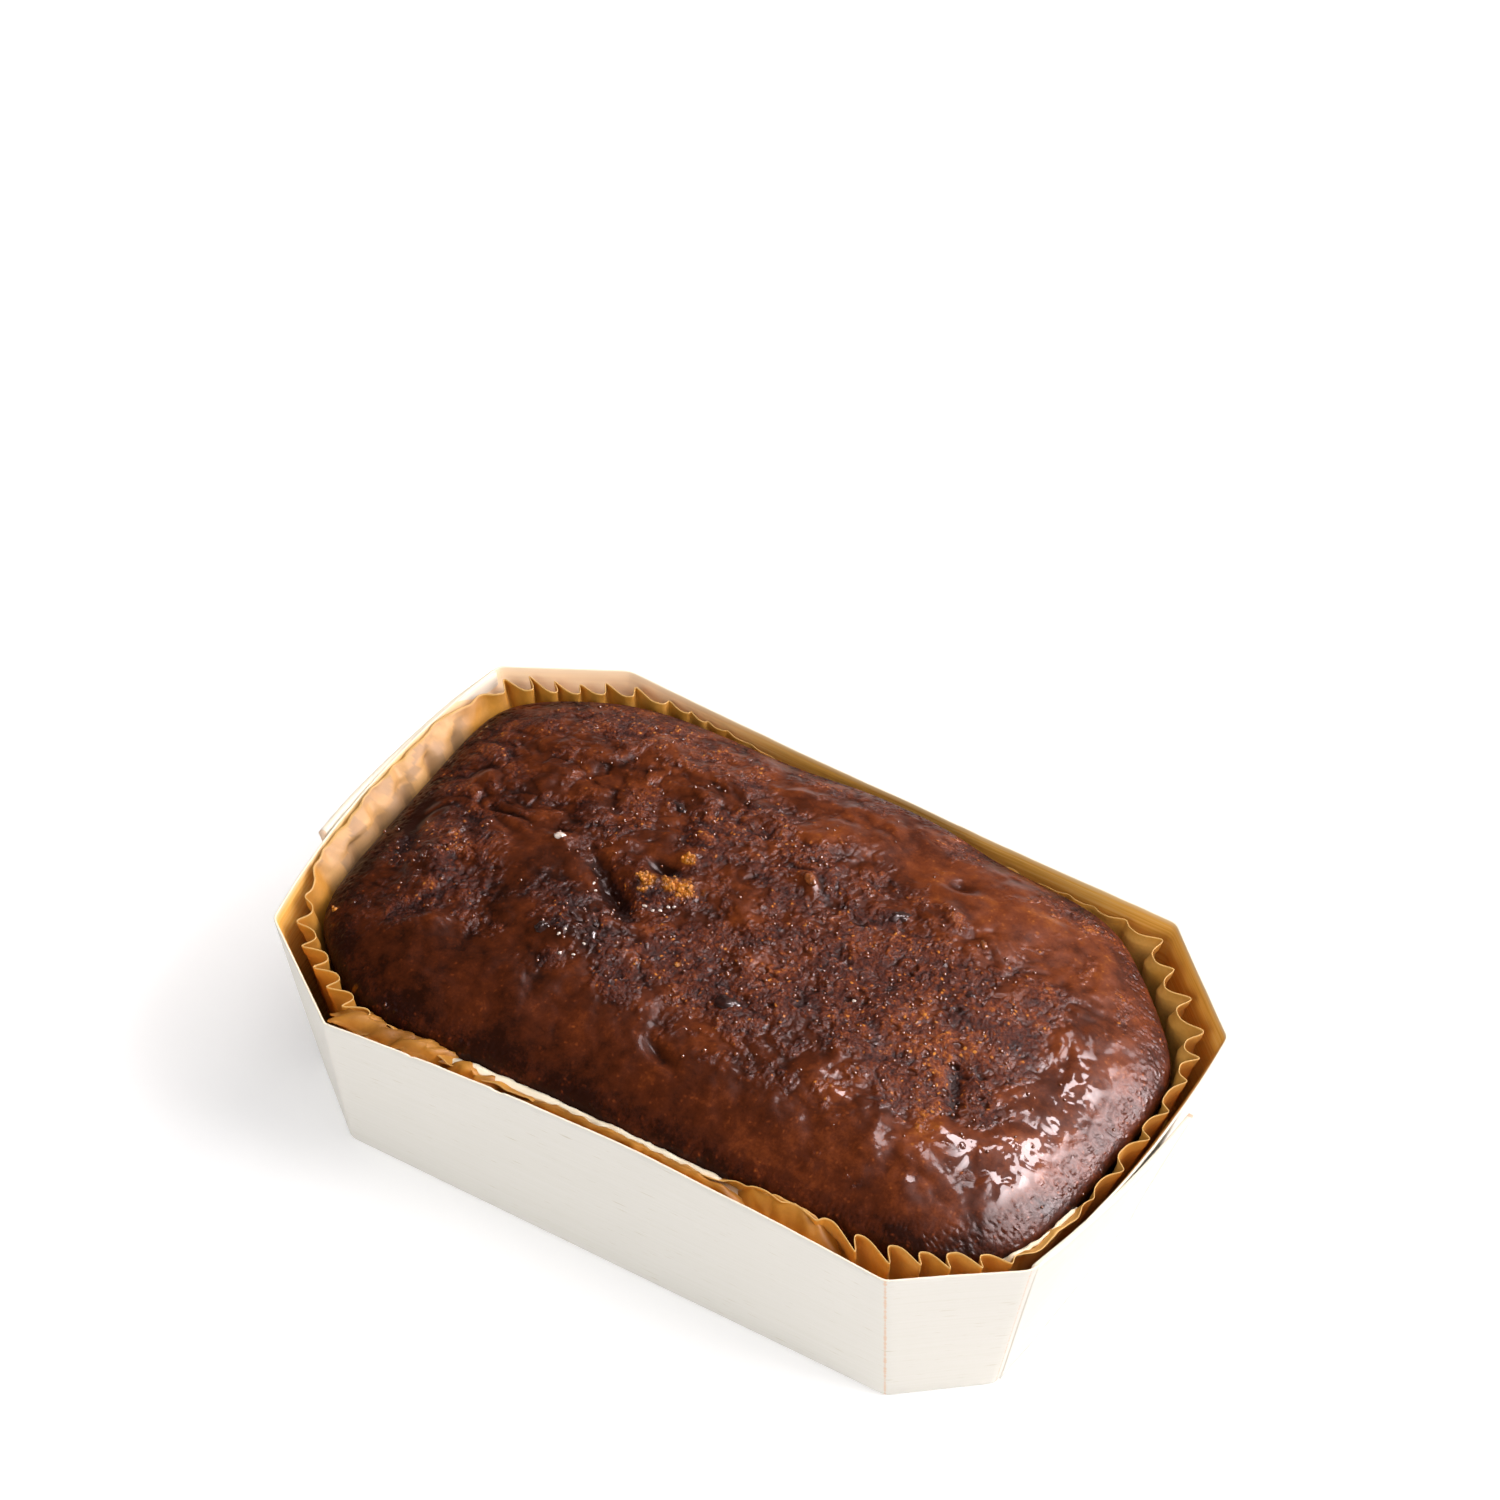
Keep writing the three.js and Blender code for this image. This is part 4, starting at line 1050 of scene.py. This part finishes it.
stripShape = {
    "spacing": 0.45, "rows": 10, "thickness": 0.18,
    # from and to angle; share of the gap and height over the loaf's edge up the strip; ragged edge; paleness;
    # taper; crumple in mm
    "strips": [
        (-131, -58, [(0.0, 0.2), (0.05, 1.2), (0.22, 1.7), (0.52, 1.2)], 0.25, 1.0, 10.0, 0.35),
        (-24.5, -10.5, [(0.0, -0.5), (0.05, 1.2), (0.14, 1.8), (0.26, 1.2)], 0.45, 0.85, 3.0, 0.45),
        (-142, -128.3, [(0.04, 0.2), (0.2, 1.7), (0.5, 2.6), (0.92, 0.9)], 0.5, 0.0, 1.5, 2.3),
        (-127.4, -118, [(0.2, 0.2), (0.4, 2.0), (0.65, 2.2), (0.93, 0.0)], 0.5, 0.0, 2.5, 2.3),
        (-116, -56, [(0.95, 0.6), (0.9, 2.4), (0.74, 2.9), (0.5, 2.2)], 0.35, 0.0, 9.0, 0.5),
        (-62, -44, [(0.9, -0.4), (0.6, 1.6), (0.32, 3.0), (0.1, 3.6)], 0.3, 0.0, 5.0, 0.9),
    ],
}


def linerStrips():
    # loose strips of the same paper: torn and turned-over edges that lie between the loaf and the pleats
    rows = stripShape["rows"]
    points, faces, tones, pales, rims, start = [], [], [], [], [], 0
    for number, (first, last, profile, ragged, pale, taper, crumple) in enumerate(stripShape["strips"]):
        seed = 130 + 7 * number
        count = round(math.radians(last - first) * 70 / stripShape["spacing"])
        angle = np.radians(np.linspace(first, last, count))
        inner = loafRadius(angle, 1.0)
        ends = np.column_stack([inner * np.cos(angle), inner * np.sin(angle)])
        travel = np.concatenate([[0], np.cumsum(np.hypot(*(ends[1:] - ends[:-1]).T))])
        rise = smooth(np.minimum(travel, travel[-1] - travel) / taper)
        edge = blendSides(angle, edgeHeights)
        knots = np.linspace(0, 1, len(profile))
        for row in np.linspace(0, 1, rows):
            share, height = (np.interp(row, knots, column) for column in np.array(profile).T)
            uneven = ragged * row * (lineNoise(travel, 5.0, seed) + 0.6 * lineNoise(travel, 1.7, seed + 1))
            z = edge + np.minimum(height, height * rise) + uneven - 0.5 * (1 - rise)
            low, high = inner + 0.25, wallRadius(angle, z) - 0.35
            facets = 1.6 * np.abs(layeredNoise(travel, travel * 0 + 4 * row, 2.8, seed + 2, 2)) - 0.5
            r = lerp(low, high, share) + crumple * facets
            z = z + 0.4 * crumple * lineNoise(travel, 2.7, seed + 5, 3 * row)
            points.append(np.column_stack([r * np.cos(angle), r * np.sin(angle), z]))
            # pale strips are cream, partly paler paper and partly painted light; the other strips are painted
            # darker, partly grease and partly painted shade
            tones.append((0.16 if pale else -0.02) + 0.16 * lineNoise(travel, 6.0, seed + 3, 4 * row))
            cloud = layeredNoise(travel, travel * 0 + 3 * row, 4.0, seed + 4)
            pales.append(np.clip(pale * (1 + 0.35 * cloud), 0, 1))
            rims.append(np.full(count, 1.0 * (row > 0.99)))
        faces += list(loftFaces(rows, count, first=start, closed=False))
        start += rows * count
    return makeMesh("linerStrips", np.concatenate(points), faces, {
        "tone": np.concatenate(tones), "pale": np.concatenate(pales), "rimEdge": np.concatenate(rims)})


finishPiece(linerStrips(), paperMaterial, thickness=stripShape["thickness"])


# Camera, floor and light

view = {"azimuth": 31.738, "elevation": 45.878, "distance": 1672.13, "roll": 0.404, "lens": 192.0,
        "target": (-52.57, 83.95, 0.0)}


def addCamera():
    az, el, roll = (math.radians(view[k]) for k in ("azimuth", "elevation", "roll"))
    back = Vector((math.sin(az) * math.cos(el), -math.cos(az) * math.cos(el), math.sin(el)))
    right = (-back).cross(Vector((0, 0, 1))).normalized()
    up = right.cross(-back)
    turnedRight = right * math.cos(roll) + up * math.sin(roll)
    turnedUp = up * math.cos(roll) - right * math.sin(roll)
    scene.camera = addObject("camera", bpy.data.cameras.new("camera"))
    scene.camera.data.lens = view["lens"]
    scene.camera.data.sensor_width = 36.0
    axes = Matrix((turnedRight, turnedUp, back)).transposed().to_4x4()
    place = (Vector(view["target"]) + back * view["distance"]) * mm
    scene.camera.matrix_world = Matrix.Translation(place) @ axes


def addPanelLight(name, direction, distance, size, watts, hexColour="#ffffff", mirrored=True, lighting=True):
    # a softbox that faces the loaf
    data = bpy.data.lights.new(name, "AREA")
    data.shape, data.size, data.size_y = "RECTANGLE", size[0], size[1]
    data.energy = watts
    data.color = toLinear(hexColour)[:3]
    lamp = addObject(name, data)
    lamp.visible_glossy, lamp.visible_diffuse = mirrored, lighting
    away = Vector(direction).normalized()
    lamp.location = away * distance
    lamp.rotation_euler = away.to_track_quat("Z", "Y").to_euler()


def addFloor():
    # white seamless table top, lit to paper white
    mesh = bpy.data.meshes.new("tableTop")
    mesh.from_pydata([(-4, -4, 0), (4, -4, 0), (4, 4, 0), (-4, 4, 0)], [], [(0, 1, 2, 3)])
    floor = addObject("tableTop", mesh)
    material = bpy.data.materials.new("whiteLaminate")
    material.use_nodes = True
    shader = material.node_tree.nodes["Principled BSDF"]
    for socket, value in (("Base Color", (0.92, 0.92, 0.93, 1)), ("Roughness", 0.9),
                          ("Specular IOR Level", 0.0), ("Emission Color", (1, 1, 1, 1)),
                          ("Emission Strength", 0.24)):
        shader.inputs[socket].default_value = value
    mesh.materials.append(material)


def addSurroundings():
    # a dim studio, dark overhead, with a pale wall behind the loaf
    world = bpy.data.worlds.new("studio")
    scene.world = world
    world.use_nodes = True
    tree = world.node_tree
    tree.nodes.clear()
    towards = addNode(tree, "ShaderNodeTexCoord").outputs["Generated"]
    behind = addNode(tree, "ShaderNodeVectorMath", {0: towards, 1: (0.25, 0.97, 0.0)},
                     operation="DOT_PRODUCT").outputs["Value"]
    glow = ramp(tree, behind, (0.0, (0.06, 0.05, 0.048, 1)), (0.5, (0.1, 0.082, 0.078, 1)),
                (0.75, (0.22, 0.17, 0.155, 1)), (1.0, (0.42, 0.33, 0.3, 1)))
    sky = addNode(tree, "ShaderNodeBackground", {"Color": glow, "Strength": 1.0})
    addNode(tree, "ShaderNodeOutputWorld", {"Surface": sky.outputs[0]})


addCamera()
addFloor()
addSurroundings()
addPanelLight("keySoftbox", (0.70, 0.24, 0.65), 1.5, (0.8, 0.9), 17.4, "#fffbfa")
addPanelLight("keySheen", (0.68, 0.26, 0.68), 1.45, (1.0, 1.15), 84.0, "#fff0f3", lighting=False)
addPanelLight("windowSheen", (0.60, 0.62, 0.50), 1.45, (0.7, 0.7), 42.0, "#fff0f3", lighting=False)
addPanelLight("overheadSheen", (0.05, 0.40, 0.92), 1.5, (0.35, 0.35), 12.0, "#fff0f3", lighting=False)
addPanelLight("backSoftbox", (0.25, 0.85, 0.55), 1.8, (1.4, 1.0), 22.0, "#fff4ee", mirrored=False)
addPanelLight("frontFill", (-0.04, -0.85, 0.5), 2.2, (1.6, 1.2), 24.0, mirrored=False)
addPanelLight("ceilingBounce", (0.3, -0.1, 1.0), 2.0, (1.5, 1.5), 13.0, mirrored=False)
scene.view_settings.view_transform = "Standard"
scene.view_settings.look = "None"
print("camera, floor and light placed")
